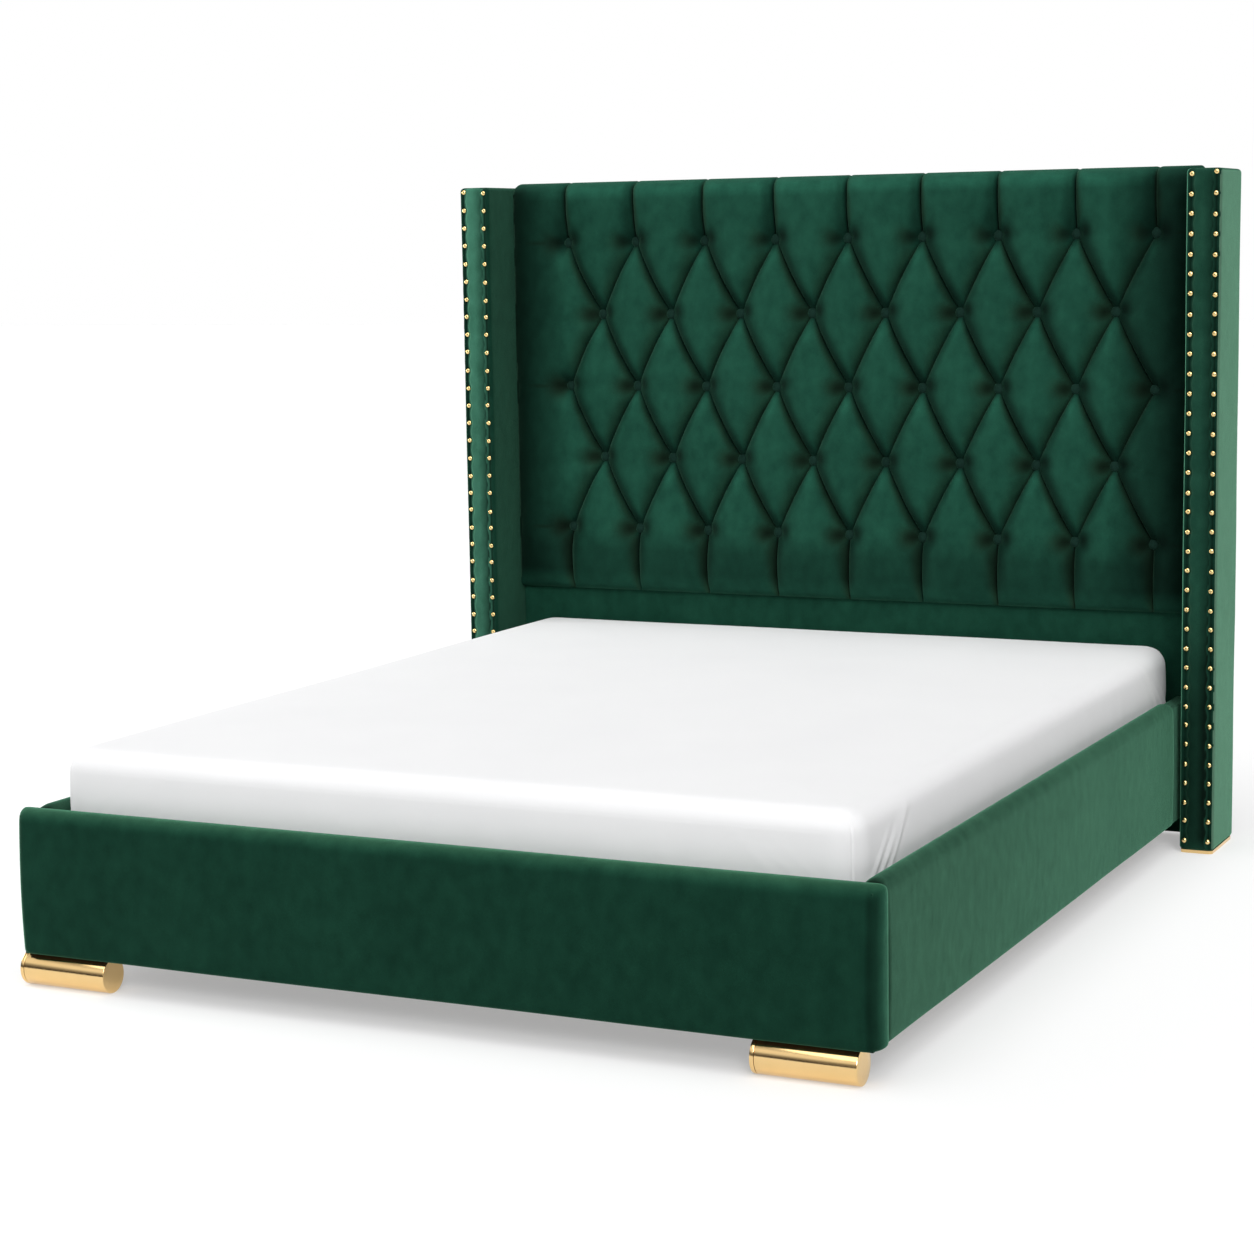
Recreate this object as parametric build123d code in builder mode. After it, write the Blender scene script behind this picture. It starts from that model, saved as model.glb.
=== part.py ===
from build123d import *
import os
from math import hypot

os.makedirs("parts", exist_ok=True)

# Driving sizes in millimetres. X runs across the bed, Y from its foot to its head, Z up from the floor.

# Mattress and the sheet fitted over it
mattress_width = 1600.0
mattress_length = 2000.0
mattress_height = 208.0
mattress_crown = 9.0
mattress_bulge = 5.0
mattress_edge_radius = 34.0
mattress_corner_radius = 60.0
sheet_thickness = 1.6
sheet_hem_height = 16.0
sheet_clearance = 0.3
mattress_side_room = 6.0
mattress_foot_room = 8.0
mattress_head_room = 3.0
mattress_clearance = 0.4

# Side rails and the ledges that carry the slats
rail_height = 275.0
rail_core_thickness = 30.0
rail_padding = 10.0
rail_top_padding = 12.0
rail_crown = 3.0
rail_bottom_radius = 5.0
rail_end_radius = 6.0
rail_joint_gap = 0.5
rail_wing_gap = 10.0
ledge_drop = 118.0
ledge_width = 36.0
ledge_height = 40.0

# Footboard and its two cylinder feet
footboard_thickness = 64.0
footboard_core_thickness = 42.0
footboard_front_padding = 12.0
footboard_end_padding = 12.0
footboard_overhang = 4.0
footboard_crown = 4.0
footboard_top_radius = 26.0
footboard_end_radius = 10.0
foot_diameter = 68.0
foot_length = 190.0
foot_cap_length = 8.0
foot_spigot_radius = 12.0
foot_spigot_length = 14.0
foot_bevel = 1.5
foot_floor_flat = 0.5
foot_seat_flat = 2.5
foot_inset = 20.0
foot_setback = 4.0
foot_shift = -18.0
foot_stud_pitch = 110.0

# Headboard frame, from the mattress back to the wall
band_thickness = 6.0
board_thickness = 9.0
frame_thickness = 20.0
back_cover_thickness = 2.0
panel_gap = 0.5
board_bottom = 12.0
board_top = 1500.0
panel_top = 1522.0
panel_corner_radius = 18.0
post_width = 60.0
batten_height = 60.0
mid_batten_level = 940.0

# Diamond tufting
tuft_columns = 9
tuft_rows = 5
tuft_pitch_x = 184.0
tuft_pitch_z = 175.0
tuft_top_row = 1375.0
tuft_shift = 24.0
pad_bottom = 520.0
pad_base = 14.0
pillow_crown = 46.0
pleat_gap = 5.0
pleat_run = 30.0
seam_sink = 1.0
pillow_rings = (
    (1.0, -seam_sink),
    (0.93, 0.42 * pillow_crown),
    (0.76, 0.78 * pillow_crown),
    (0.4, pillow_crown),
)
button_radius = 11.0
button_height = 8.0
button_room = 20.0
button_sides = 8

# Wings, their nails and foot plates
wing_width = 78.0
wing_depth = 195.0
wing_height = 1512.0
wing_gap = 4.0
wing_corner_radius = 10.0
wing_top_radius = 9.0
wing_side_padding = 6.0
wing_front_padding = 12.0
wing_top_padding = 10.0
wing_puff = 5.0
wing_puff_width = 40.0
wing_puff_end = 26.0
wing_puff_end_share = 0.15
nail_count = 35
nail_radius = 5.8
nail_height = 3.2
nail_sides = 6
nail_inset = 12.5
nail_bottom_margin = 22.0
nail_top_margin = 12.0
wing_plate_thickness = 7.0
wing_plate_inset = 3.0
wing_bolt_levels = (430.0, 800.0, 1380.0)
wing_bolt_grip = 25.0

# Slats, their holders and the beam under the middle
slat_count = 13
slat_width = 68.0
slat_thickness = 8.0
slat_camber = 12.0
slat_straight_end = 26.0
slat_crown_share = 0.4
slat_end_margin = 90.0
holder_length = 24.0
holder_floor = 3.0
holder_roof = 3.0
holder_cheek = 4.0
holder_clearance = 0.4
beam_width = 48.0
beam_height = 60.0
leg_count = 3
leg_pitch = 600.0
leg_width = 40.0
leg_plate = 70.0
leg_plate_thickness = 4.0
leg_stud_length = 30.0
leveller_radius = 19.0
leveller_height = 8.0
leveller_stem_radius = 5.0
leveller_stem_length = 45.0
leveller_clearance = 0.3
leveller_sides = 12

# Steel brackets and fasteners
steel_thickness = 3.0
bracket_height = 96.0
bracket_bottom = 80.0
bracket_leg_rail = 62.0
bracket_leg_board = 48.0
bracket_bolt_pitch = 52.0
bracket_hole_share = 0.6
hanger_flange = 26.0
hanger_depth = 55.0
bolt_radius = 4.0
bolt_head_radius = 7.0
bolt_head_height = 4.0
bolt_clearance = 0.3
screw_radius = 2.5
screw_head_radius = 5.0
screw_head_height = 2.5
screw_grip = 20.0
ledge_screw_count = 4

# Places across the bed, counted outwards from the middle
rail_inner = mattress_width / 2 + mattress_side_room
rail_core_inner = rail_inner + rail_padding
rail_core_outer = rail_core_inner + rail_core_thickness
rail_outer = rail_core_outer + rail_padding
footboard_half = rail_outer + footboard_overhang
wing_inner = rail_outer + wing_gap
wing_outer = wing_inner + wing_width
panel_half = wing_inner - panel_gap
post_inner = panel_half - post_width
ledge_inner = rail_core_inner - ledge_width

# Places along the bed, with the middle of the whole length at zero
footboard_room = footboard_thickness + mattress_foot_room
headboard_thickness = band_thickness + board_thickness + frame_thickness + back_cover_thickness
overall_length = footboard_room + mattress_length + mattress_head_room + headboard_thickness
foot_face = -overall_length / 2
footboard_inner = foot_face + footboard_thickness
footboard_core_front = foot_face + footboard_front_padding
footboard_core_back = footboard_core_front + footboard_core_thickness
mattress_front = footboard_inner + mattress_foot_room
mattress_back = mattress_front + mattress_length
band_front = mattress_back + mattress_head_room
board_front = band_front + band_thickness
frame_front = board_front + board_thickness
frame_back = frame_front + frame_thickness
head_face = frame_back + back_cover_thickness
frame_middle = (frame_front + frame_back) / 2
wing_front = head_face - wing_depth
wing_face = wing_front + wing_puff
pad_face = board_front - pad_base

# Places above the floor
underside = foot_diameter - foot_floor_flat - foot_seat_flat
rail_top = underside + rail_height
ledge_top = rail_top - ledge_drop
ledge_bottom = ledge_top - ledge_height
slat_bottom = ledge_top + holder_floor
mattress_bottom = slat_bottom + slat_thickness + slat_camber + mattress_clearance
sheet_grow = sheet_clearance + sheet_thickness
beam_bottom = ledge_top - beam_height
foot_axis_level = foot_diameter / 2 - foot_floor_flat
foot_axis_y = foot_face + foot_setback + foot_diameter / 2

sides = {"left": -1, "right": 1}


def keep(piece, name):
    """Label a finished piece and write it to its own file."""
    piece.part.label = name
    export_step(piece.part, f"parts/{name}.step")


def block(x_span, y_span, z_span, mode=Mode.ADD):
    """A straight block between three pairs of planes, in the part being built."""
    middle = [(low + high) / 2 for low, high in (x_span, y_span, z_span)]
    lengths = [abs(high - low) for low, high in (x_span, y_span, z_span)]
    with Locations(tuple(middle)):
        Box(*lengths, mode=mode)


def prism(seat, into, radius, length, side_count=6, mode=Mode.ADD):
    """A straight-sided rod from a seat along a direction, added to or cut from the part being built."""
    with BuildSketch(Plane(origin=seat, z_dir=into)) as outline:
        RegularPolygon(radius, side_count)
    extrude(outline.sketch, amount=length, mode=mode)


def bolt(seat, into, length, radius=bolt_radius, head=bolt_head_radius, head_height=bolt_head_height):
    """A hexagon bolt whose head sits on its seat and whose shank runs into the wood."""
    prism(seat, into, radius, length)
    prism(seat, into, head, -head_height)


def bolt_hole(seat, into, length, radius=bolt_radius):
    """The clearance hole for such a bolt, cut from the part being built."""
    prism(seat, into, radius + bolt_clearance, length + bolt_clearance, mode=Mode.SUBTRACT)


def screw(seat, into, length):
    bolt(seat, into, length, screw_radius, screw_head_radius, screw_head_height)


def spread(first, last, count):
    """Evenly spaced places from first to last."""
    return [first + (last - first) * index / (count - 1) for index in range(count)]


def rounded_corner(corner, before, after, radius):
    """A quarter arc that rounds a square corner, between the sides towards two neighbouring points."""
    corner = Vector(*corner)
    back = (Vector(*before) - corner).normalized() * radius
    ahead = (Vector(*after) - corner).normalized() * radius
    middle = corner + (back + ahead) * (1 - 2**-0.5)
    return ThreePointArc(corner + back, middle, corner + ahead)


# Mattress: a crowned block with softly drawn-in sides, from three crossing profiles


def cushion_profile(plane, low, high, grow):
    """One side view of the mattress: swelling sides, round edges and a crowned top."""
    low = low - grow
    high = high + grow
    top = mattress_bottom + mattress_height + grow
    top_edge = top - mattress_crown
    floor = mattress_bottom - grow
    left = low + mattress_bulge
    right = high - mattress_bulge
    level = (floor + top_edge) / 2
    middle = (low + high) / 2
    radius = mattress_edge_radius + grow
    with BuildSketch(plane) as profile:
        with BuildLine():
            Line((left + radius, floor), (right - radius, floor))
            rounded_corner((right, floor), (left, floor), (right, top_edge), radius)
            ThreePointArc((right, floor + radius), (high, level), (right, top_edge - radius))
            rounded_corner((right, top_edge), (right, floor), (left, top_edge), radius)
            ThreePointArc((right - radius, top_edge), (middle, top), (left + radius, top_edge))
            rounded_corner((left, top_edge), (right, top_edge), (left, floor), radius)
            ThreePointArc((left, top_edge - radius), (low, level), (left, floor + radius))
            rounded_corner((left, floor), (left, top_edge), (right, floor), radius)
        make_face()
    return profile.sketch


def mattress_form(grow):
    """The mattress's form, grown evenly on every side."""
    half = mattress_width / 2
    across = cushion_profile(Plane.XZ, -half, half, grow)
    along = cushion_profile(Plane.YZ, mattress_front, mattress_back, grow)
    with BuildPart() as form:
        extrude(across, amount=mattress_length, both=True)
        extrude(along, amount=mattress_width, both=True, mode=Mode.INTERSECT)
        with BuildSketch(Plane.XY.offset(mattress_bottom - mattress_height)):
            with Locations((0, (mattress_front + mattress_back) / 2)):
                RectangleRounded(
                    mattress_width + 2 * grow,
                    mattress_length + 2 * grow,
                    mattress_corner_radius + grow,
                )
        extrude(amount=3 * mattress_height, mode=Mode.INTERSECT)
    return form


mattress = mattress_form(0)
keep(mattress, "mattress")

# Fitted sheet: a thin skin over the top and sides, open below its hem
sheet_outside = mattress_form(sheet_grow)
sheet_inside = mattress_form(sheet_clearance)
with BuildPart() as fitted_sheet:
    add(sheet_outside.part)
    add(sheet_inside.part, mode=Mode.SUBTRACT)
    split(bisect_by=Plane.XY.offset(mattress_bottom + sheet_hem_height), keep=Keep.TOP)
keep(fitted_sheet, "fitted_sheet")

# Tuft grid: button places, in rows that step half a pitch from one to the next


def row_level(row):
    return tuft_top_row - row * tuft_pitch_z


def row_columns(row):
    count = tuft_columns - row % 2
    reach = (count - 1) / 2 * tuft_pitch_x
    return [tuft_shift + place for place in spread(-reach, reach, count)]


button_places = [(x, row_level(row)) for row in range(tuft_rows) for x in row_columns(row)]
half_pitch = tuft_pitch_x / 2
button_plane = Plane(origin=(0, pad_face, 0), x_dir=(1, 0, 0), z_dir=(0, -1, 0))

# Tufted pad: a flat base with a swelling pillow in every diamond, parted by narrow sewn pleats

end_room = panel_half - panel_gap
pad_crest = panel_top - pad_base / 2
pleat_half = pleat_gap / 2

# The slanted pleat runs from a button to the one half a pitch aside and one row off
pleat_slope = tuft_pitch_z / half_pitch
pleat_draw = pleat_half * hypot(1, 1 / pleat_slope)
tip_level = tuft_pitch_z - button_room
tip_reach = half_pitch - tip_level / pleat_slope - pleat_draw
side_reach = half_pitch - button_room
side_level = tuft_pitch_z - (side_reach + pleat_draw) * pleat_slope


def pillow(outline, centre):
    """One stuffed pillow: its outline drawn in towards a centre, ring by ring, closed by flat facets."""
    rings = []
    for share, height in pillow_rings:
        ring = [tuple(c + (p - c) * share for p, c in zip(point, centre)) for point in outline]
        rings.append([button_plane.from_local_coords((x, z, height)) for x, z in ring])
    facets = [rings[0], rings[-1]]
    for low, high in zip(rings, rings[1:]):
        for index in range(len(outline)):
            facets.append([low[index - 1], low[index], high[index], high[index - 1]])
    return Solid(Shell([Face(Wire.make_polygon(facet)) for facet in facets]))


def diamond(centre, level):
    """A whole diamond between four buttons."""
    quarter = [(side_reach, side_level), (tip_reach, tip_level)]
    half = quarter + [(-x, z) for x, z in quarter[::-1]]
    outline = [(centre + x, level + z) for x, z in half + [(x, -z) for x, z in half[::-1]]]
    return pillow(outline, (centre, level))


def tongue(centre, row, way):
    """A pillow that starts as half a diamond and runs on between two upright pleats to the edge."""
    level = row_level(row)
    edge = pad_crest if way > 0 else pad_bottom
    reach = half_pitch - pleat_half
    right = [
        (tip_reach, -tip_level),
        (side_reach, -side_level),
        (side_reach, button_room / 2),
        (reach, pleat_run),
        (reach, abs(edge - level)),
    ]
    loop = right + [(-x, z) for x, z in right[::-1]]
    outline = [(centre + x, level + way * z) for x, z in loop]
    return pillow(outline, (centre, level + way * button_room))


def side_pillow(side, row):
    """Half a diamond beside the wing, between the level pleats of two end buttons."""
    level = row_level(row)
    inner = row_columns(row)[0 if side < 0 else -1]
    outer = inner + side * half_pitch
    upper = [
        (inner + side * button_room, side_level),
        (inner + side * (half_pitch - tip_reach), tip_level),
        (outer + side * button_room, tuft_pitch_z - pleat_half),
        (side * end_room, tuft_pitch_z - pleat_half),
    ]
    loop = upper + [(x, -z) for x, z in upper[::-1]]
    outline = [(x, level + z) for x, z in loop]
    return pillow(outline, ((inner + side * end_room) / 2, level))


def corner_pillow(side, row, way):
    """The square pillow in a corner of the pad, outside the end button."""
    level = row_level(row)
    button_x = row_columns(row)[0 if side < 0 else -1]
    edge = pad_crest if way > 0 else pad_bottom
    loop = [
        (side * end_room, pleat_half),
        (button_x + side * button_room, pleat_half),
        (button_x + side * pleat_half, pleat_run),
        (button_x + side * pleat_half, abs(edge - level)),
        (side * end_room, abs(edge - level)),
    ]
    outline = [(x, level + way * z) for x, z in loop]
    return pillow(outline, ((button_x + side * end_room) / 2, (level + edge) / 2))


pillows = []
for row in range(1, tuft_rows - 1):
    for left, right in zip(row_columns(row), row_columns(row)[1:]):
        pillows.append(diamond((left + right) / 2, row_level(row)))
for row, way in ((0, 1), (tuft_rows - 1, -1)):
    for left, right in zip(row_columns(row), row_columns(row)[1:]):
        pillows.append(tongue((left + right) / 2, row, way))
    for side in sides.values():
        pillows.append(corner_pillow(side, row, way))
for row in range(1, tuft_rows - 1, 2):
    for side in sides.values():
        pillows.append(side_pillow(side, row))

with BuildPart() as tufted_pad:
    with BuildSketch(Plane.YZ.offset(-end_room)):
        with BuildLine():
            Line((board_front, pad_bottom), (pad_face, pad_bottom))
            Line((pad_face, pad_bottom), (pad_face, panel_top - pad_base))
            rounded_corner((pad_face, panel_top), (pad_face, pad_bottom), (frame_back, panel_top), pad_base)
            Line((pad_face + pad_base, panel_top), (frame_back - panel_corner_radius, panel_top))
            rounded_corner(
                (frame_back, panel_top),
                (pad_face, panel_top),
                (frame_back, board_top),
                panel_corner_radius,
            )
            Line((frame_back, panel_top - panel_corner_radius), (frame_back, board_top))
            Line((frame_back, board_top), (board_front, board_top))
            Line((board_front, board_top), (board_front, pad_bottom))
        make_face()
    extrude(amount=2 * end_room)
    add(pillows)
keep(tufted_pad, "tufted_pad")

# Covered buttons, one pulled down at every crossing of the pleats


def stud(plane, radius, height, side_count):
    """A low pointed dome standing on a plane, with few sides because it repeats so often."""
    with BuildPart() as dome:
        with BuildSketch(plane) as base:
            RegularPolygon(radius, side_count)
        loft([base.sketch, Vertex(*(plane.origin + plane.z_dir * height))], ruled=True)
    return dome.part


button = stud(button_plane, button_radius, button_height, button_sides)
with BuildPart() as tuft_buttons:
    with Locations(*[(x, 0, z) for x, z in button_places]):
        add(button)
keep(tuft_buttons, "tuft_buttons")

# Headboard frame: two posts and three battens behind a plywood board

wing_bolt_seats = {
    side: [(side * post_inner, frame_middle, level) for level in wing_bolt_levels] for side in sides.values()
}
wing_bolt_length = wing_inner + wing_side_padding + wing_bolt_grip - post_inner

bracket_bolt_levels = [bracket_bottom + bracket_height / 2 + way * bracket_bolt_pitch / 2 for way in (-1, 1)]
bracket_board_x = rail_core_inner - bracket_leg_board * bracket_hole_share
hanger_half = beam_width / 2 + steel_thickness
hanger_screw_x = hanger_half + hanger_flange / 2
hanger_screw_level = beam_bottom + beam_height / 2
bracket_board_places = [(side * bracket_board_x, z) for side in sides.values() for z in bracket_bolt_levels]
hanger_places = [(side * hanger_screw_x, hanger_screw_level) for side in sides.values()]
head_bolt_length = steel_thickness + band_thickness + board_thickness + frame_thickness / 2
foot_bolt_grip = footboard_inner - footboard_core_back + screw_grip


def head_bolt_holes():
    """Holes for the bracket bolts and hanger screws that enter the headboard from the front."""
    for x, z in bracket_board_places:
        bolt_hole((x, band_front - steel_thickness, z), (0, 1, 0), head_bolt_length)
    for x, z in hanger_places:
        bolt_hole((x, band_front - steel_thickness, z), (0, 1, 0), head_bolt_length, screw_radius)


for name, side in sides.items():
    with BuildPart() as headboard_post:
        block(
            (side * post_inner, side * panel_half),
            (frame_front, frame_back),
            (board_bottom, board_top),
        )
        for seat in wing_bolt_seats[side]:
            bolt_hole(seat, (side, 0, 0), post_width)
    keep(headboard_post, f"headboard_post_{name}")

batten_spans = {
    "headboard_top_rail": (board_top - batten_height, board_top),
    "headboard_mid_rail": (mid_batten_level - batten_height / 2, mid_batten_level + batten_height / 2),
    "headboard_bottom_rail": (underside, rail_top),
}
for name, span in batten_spans.items():
    with BuildPart() as batten:
        block((-post_inner, post_inner), (frame_front, frame_back), span)
        if name == "headboard_bottom_rail":
            head_bolt_holes()
    keep(batten, name)

with BuildPart() as headboard_board:
    block((-panel_half, panel_half), (board_front, frame_front), (board_bottom, board_top))
    head_bolt_holes()
keep(headboard_board, "headboard_board")

with BuildPart() as headboard_lower_band:
    block((-end_room, end_room), (band_front, board_front), (board_bottom, pad_bottom))
    fillet(headboard_lower_band.faces().sort_by(Axis.Y)[0].edges(), band_thickness / 2)
    head_bolt_holes()
keep(headboard_lower_band, "headboard_lower_band")

with BuildPart() as headboard_back_cover:
    block((-panel_half, panel_half), (frame_back, head_face), (board_bottom, board_top))
keep(headboard_back_cover, "headboard_back_cover")

# Wings: a wooden core in a padded cover, with a swelling band between two columns of nails


def wing_plan(inset, radius, level, side):
    """The wing's outline from above, drawn in evenly from its edges."""
    with BuildSketch(Plane.XY.offset(level)) as plan:
        with Locations((side * (wing_inner + wing_outer) / 2, (wing_face + head_face) / 2)):
            RectangleRounded(wing_width - 2 * inset, head_face - wing_face - 2 * inset, radius)
    return plan.sketch


wing_nail_x = [wing_inner + nail_inset, wing_outer - nail_inset]
wing_nail_lowest = wing_plate_thickness + nail_bottom_margin
wing_nail_highest = wing_height - nail_top_margin
wing_nail_levels = spread(wing_nail_lowest, wing_nail_highest, nail_count)
nail_plane = Plane(origin=(0, wing_face, 0), x_dir=(1, 0, 0), z_dir=(0, -1, 0))

nail = stud(nail_plane, nail_radius, nail_height, nail_sides)

for name, side in sides.items():
    wing_middle = side * (wing_inner + wing_outer) / 2
    core_box = (
        (side * (wing_inner + wing_side_padding), side * (wing_outer - wing_side_padding)),
        (wing_face + wing_front_padding, head_face - wing_side_padding),
        (wing_plate_thickness, wing_height - wing_top_padding),
    )
    cover_plan = wing_plan(0, wing_corner_radius, wing_plate_thickness, side)
    plate_plan = wing_plan(wing_plate_inset, wing_corner_radius, 0, side)

    with BuildPart() as wing_core:
        block(*core_box)
        for seat in wing_bolt_seats[side]:
            bolt_hole(seat, (side, 0, 0), wing_bolt_length)
    keep(wing_core, f"wing_core_{name}")

    with BuildPart() as wing_cover:
        extrude(cover_plan, amount=wing_height - wing_plate_thickness)
        fillet(wing_cover.faces().sort_by(Axis.Z)[-1].edges(), wing_top_radius)
        puff_top = wing_height - wing_corner_radius
        reach = wing_puff_width / 2
        root = wing_face + seam_sink
        puff_fade = puff_top - wing_puff_end
        swell = ((wing_plate_thickness, 1.0), (puff_fade, 1.0), (puff_top, wing_puff_end_share))
        for level, share in swell:
            with BuildSketch(Plane.XY.offset(level)):
                with BuildLine():
                    Line((wing_middle + reach, wing_face), (wing_middle + reach, root))
                    Line((wing_middle + reach, root), (wing_middle - reach, root))
                    Line((wing_middle - reach, root), (wing_middle - reach, wing_face))
                    ThreePointArc(
                        (wing_middle - reach, wing_face),
                        (wing_middle, wing_face - wing_puff * share),
                        (wing_middle + reach, wing_face),
                    )
                make_face()
        loft(ruled=True)
        block(*core_box, mode=Mode.SUBTRACT)
        for seat in wing_bolt_seats[side]:
            bolt_hole(seat, (side, 0, 0), wing_bolt_length)
    keep(wing_cover, f"wing_cover_{name}")

    with BuildPart() as nailheads:
        with Locations(*[(side * x, 0, z) for x in wing_nail_x for z in wing_nail_levels]):
            add(nail)
    keep(nailheads, f"nailheads_{name}")

    with BuildPart() as wing_foot:
        extrude(plate_plan, amount=wing_plate_thickness)
    keep(wing_foot, f"wing_foot_{name}")

with BuildPart() as wing_bolts:
    for side in sides.values():
        for seat in wing_bolt_seats[side]:
            bolt(seat, (side, 0, 0), wing_bolt_length)
keep(wing_bolts, "wing_bolts")

# Footboard: a wooden core in a padded cover with a rounded top, from three crossing profiles

core_half = footboard_half - footboard_end_padding
core_top = rail_top - rail_top_padding
foot_reach = footboard_half - foot_inset - foot_length / 2
foot_places = {side: side * foot_reach + foot_shift for side in sides.values()}
foot_stud_x = {
    side: [place + way * foot_stud_pitch / 2 for way in (-1, 1)] for side, place in foot_places.items()
}
foot_stud_seat = underside - screw_grip
foot_stud_length = 2 * screw_grip


def foot_stud_hole(x):
    """The hole for a stud between a foot and the footboard."""
    seat = (x, foot_axis_y, foot_stud_seat - bolt_clearance)
    bolt_hole(seat, (0, 0, 1), foot_stud_length + bolt_clearance)


def foot_board_holes():
    """Holes for the bracket bolts, hanger screws and foot studs that enter the footboard."""
    for x, z in bracket_board_places:
        bolt_hole((x, footboard_inner + steel_thickness, z), (0, -1, 0), steel_thickness + foot_bolt_grip)
    for x, z in hanger_places:
        seat = (x, footboard_inner + steel_thickness, z)
        bolt_hole(seat, (0, -1, 0), steel_thickness + foot_bolt_grip, screw_radius)
    for side in sides.values():
        for x in foot_stud_x[side]:
            foot_stud_hole(x)


with BuildPart() as footboard_core:
    block((-core_half, core_half), (footboard_core_front, footboard_core_back), (underside, core_top))
    foot_board_holes()
keep(footboard_core, "footboard_core")

with BuildPart() as footboard_cover:
    front = foot_face + footboard_crown
    shoulder = rail_top - footboard_top_radius
    with BuildSketch(Plane.YZ):
        with BuildLine():
            Line((front + rail_bottom_radius, underside), (footboard_inner, underside))
            Line((footboard_inner, underside), (footboard_inner, shoulder))
            rounded_corner(
                (footboard_inner, rail_top),
                (footboard_inner, underside),
                (front, rail_top),
                footboard_top_radius,
            )
            Line((footboard_inner - footboard_top_radius, rail_top), (front + footboard_top_radius, rail_top))
            rounded_corner(
                (front, rail_top),
                (footboard_inner, rail_top),
                (front, underside),
                footboard_top_radius,
            )
            ThreePointArc(
                (front, shoulder),
                (foot_face, (shoulder + underside) / 2),
                (front, underside + rail_bottom_radius),
            )
            rounded_corner(
                (front, underside),
                (front, rail_top),
                (footboard_inner, underside),
                rail_bottom_radius,
            )
        make_face()
    extrude(amount=footboard_half, both=True)
    with BuildSketch(Plane.XY):
        with Locations((0, (foot_face + footboard_inner) / 2)):
            RectangleRounded(2 * footboard_half, footboard_thickness, footboard_end_radius)
    extrude(amount=rail_top, mode=Mode.INTERSECT)
    with BuildSketch(Plane.XZ):
        with Locations((0, (underside + rail_top) / 2)):
            RectangleRounded(2 * footboard_half, rail_height, footboard_end_radius)
    extrude(amount=overall_length, both=True, mode=Mode.INTERSECT)
    block(
        (-core_half, core_half),
        (footboard_core_front, footboard_core_back),
        (underside, core_top),
        mode=Mode.SUBTRACT,
    )
    foot_board_holes()
keep(footboard_cover, "footboard_cover")

# Cylinder feet: a rod lying across the bed with flats for its seat and the floor, and a plug-in end cap

rod_length = foot_length - foot_cap_length
foot_cap_start = {side: place - foot_length / 2 for side, place in foot_places.items()}
rod_start = {side: start + foot_cap_length for side, start in foot_cap_start.items()}
spigot_seats = {side: (start, foot_axis_y, foot_axis_level) for side, start in rod_start.items()}


def foot_flats():
    """Cut the seat under the footboard and a narrow flat on the floor."""
    split(bisect_by=Plane.XY.offset(underside), keep=Keep.BOTTOM)
    split(bisect_by=Plane.XY, keep=Keep.TOP)


with BuildPart() as front_feet:
    for start in rod_start.values():
        with BuildSketch(Plane.YZ.offset(start)):
            with Locations((foot_axis_y, foot_axis_level)):
                Circle(foot_diameter / 2)
        extrude(amount=rod_length)
    rod_ends = [solid.faces().sort_by(Axis.X)[-1].edges() for solid in front_feet.solids()]
    chamfer([edge for edges in rod_ends for edge in edges], foot_bevel)
    foot_flats()
    for side, seat in spigot_seats.items():
        bolt_hole(seat, (1, 0, 0), foot_spigot_length, foot_spigot_radius)
        for x in foot_stud_x[side]:
            foot_stud_hole(x)
keep(front_feet, "front_feet")

with BuildPart() as foot_caps:
    for start in foot_cap_start.values():
        with BuildSketch(Plane.YZ.offset(start)):
            with Locations((foot_axis_y, foot_axis_level)):
                Circle(foot_diameter / 2)
        extrude(amount=foot_cap_length)
    cap_ends = [solid.faces().sort_by(Axis.X)[0].edges() for solid in foot_caps.solids()]
    chamfer([edge for edges in cap_ends for edge in edges], foot_bevel)
    foot_flats()
    for seat in spigot_seats.values():
        prism(seat, (1, 0, 0), foot_spigot_radius, foot_spigot_length)
keep(foot_caps, "foot_caps")

with BuildPart() as foot_studs:
    for side in sides.values():
        for x in foot_stud_x[side]:
            prism((x, foot_axis_y, foot_stud_seat), (0, 0, 1), bolt_radius, foot_stud_length)
keep(foot_studs, "foot_studs")

# Side rails: a wooden core, a padded cover folded over its top, and a ledge for the slats

rail_start = footboard_inner + rail_joint_gap
rail_stop = band_front - rail_joint_gap
cover_stop = wing_front - rail_wing_gap
ledge_start = rail_start + rail_joint_gap
ledge_stop = rail_stop - rail_joint_gap
ledge_screw_y = spread(ledge_start + slat_end_margin, ledge_stop - slat_end_margin, ledge_screw_count)
bracket_rail_y = {
    "foot": footboard_inner + bracket_leg_rail * bracket_hole_share,
    "head": band_front - bracket_leg_rail * bracket_hole_share,
}

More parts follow.
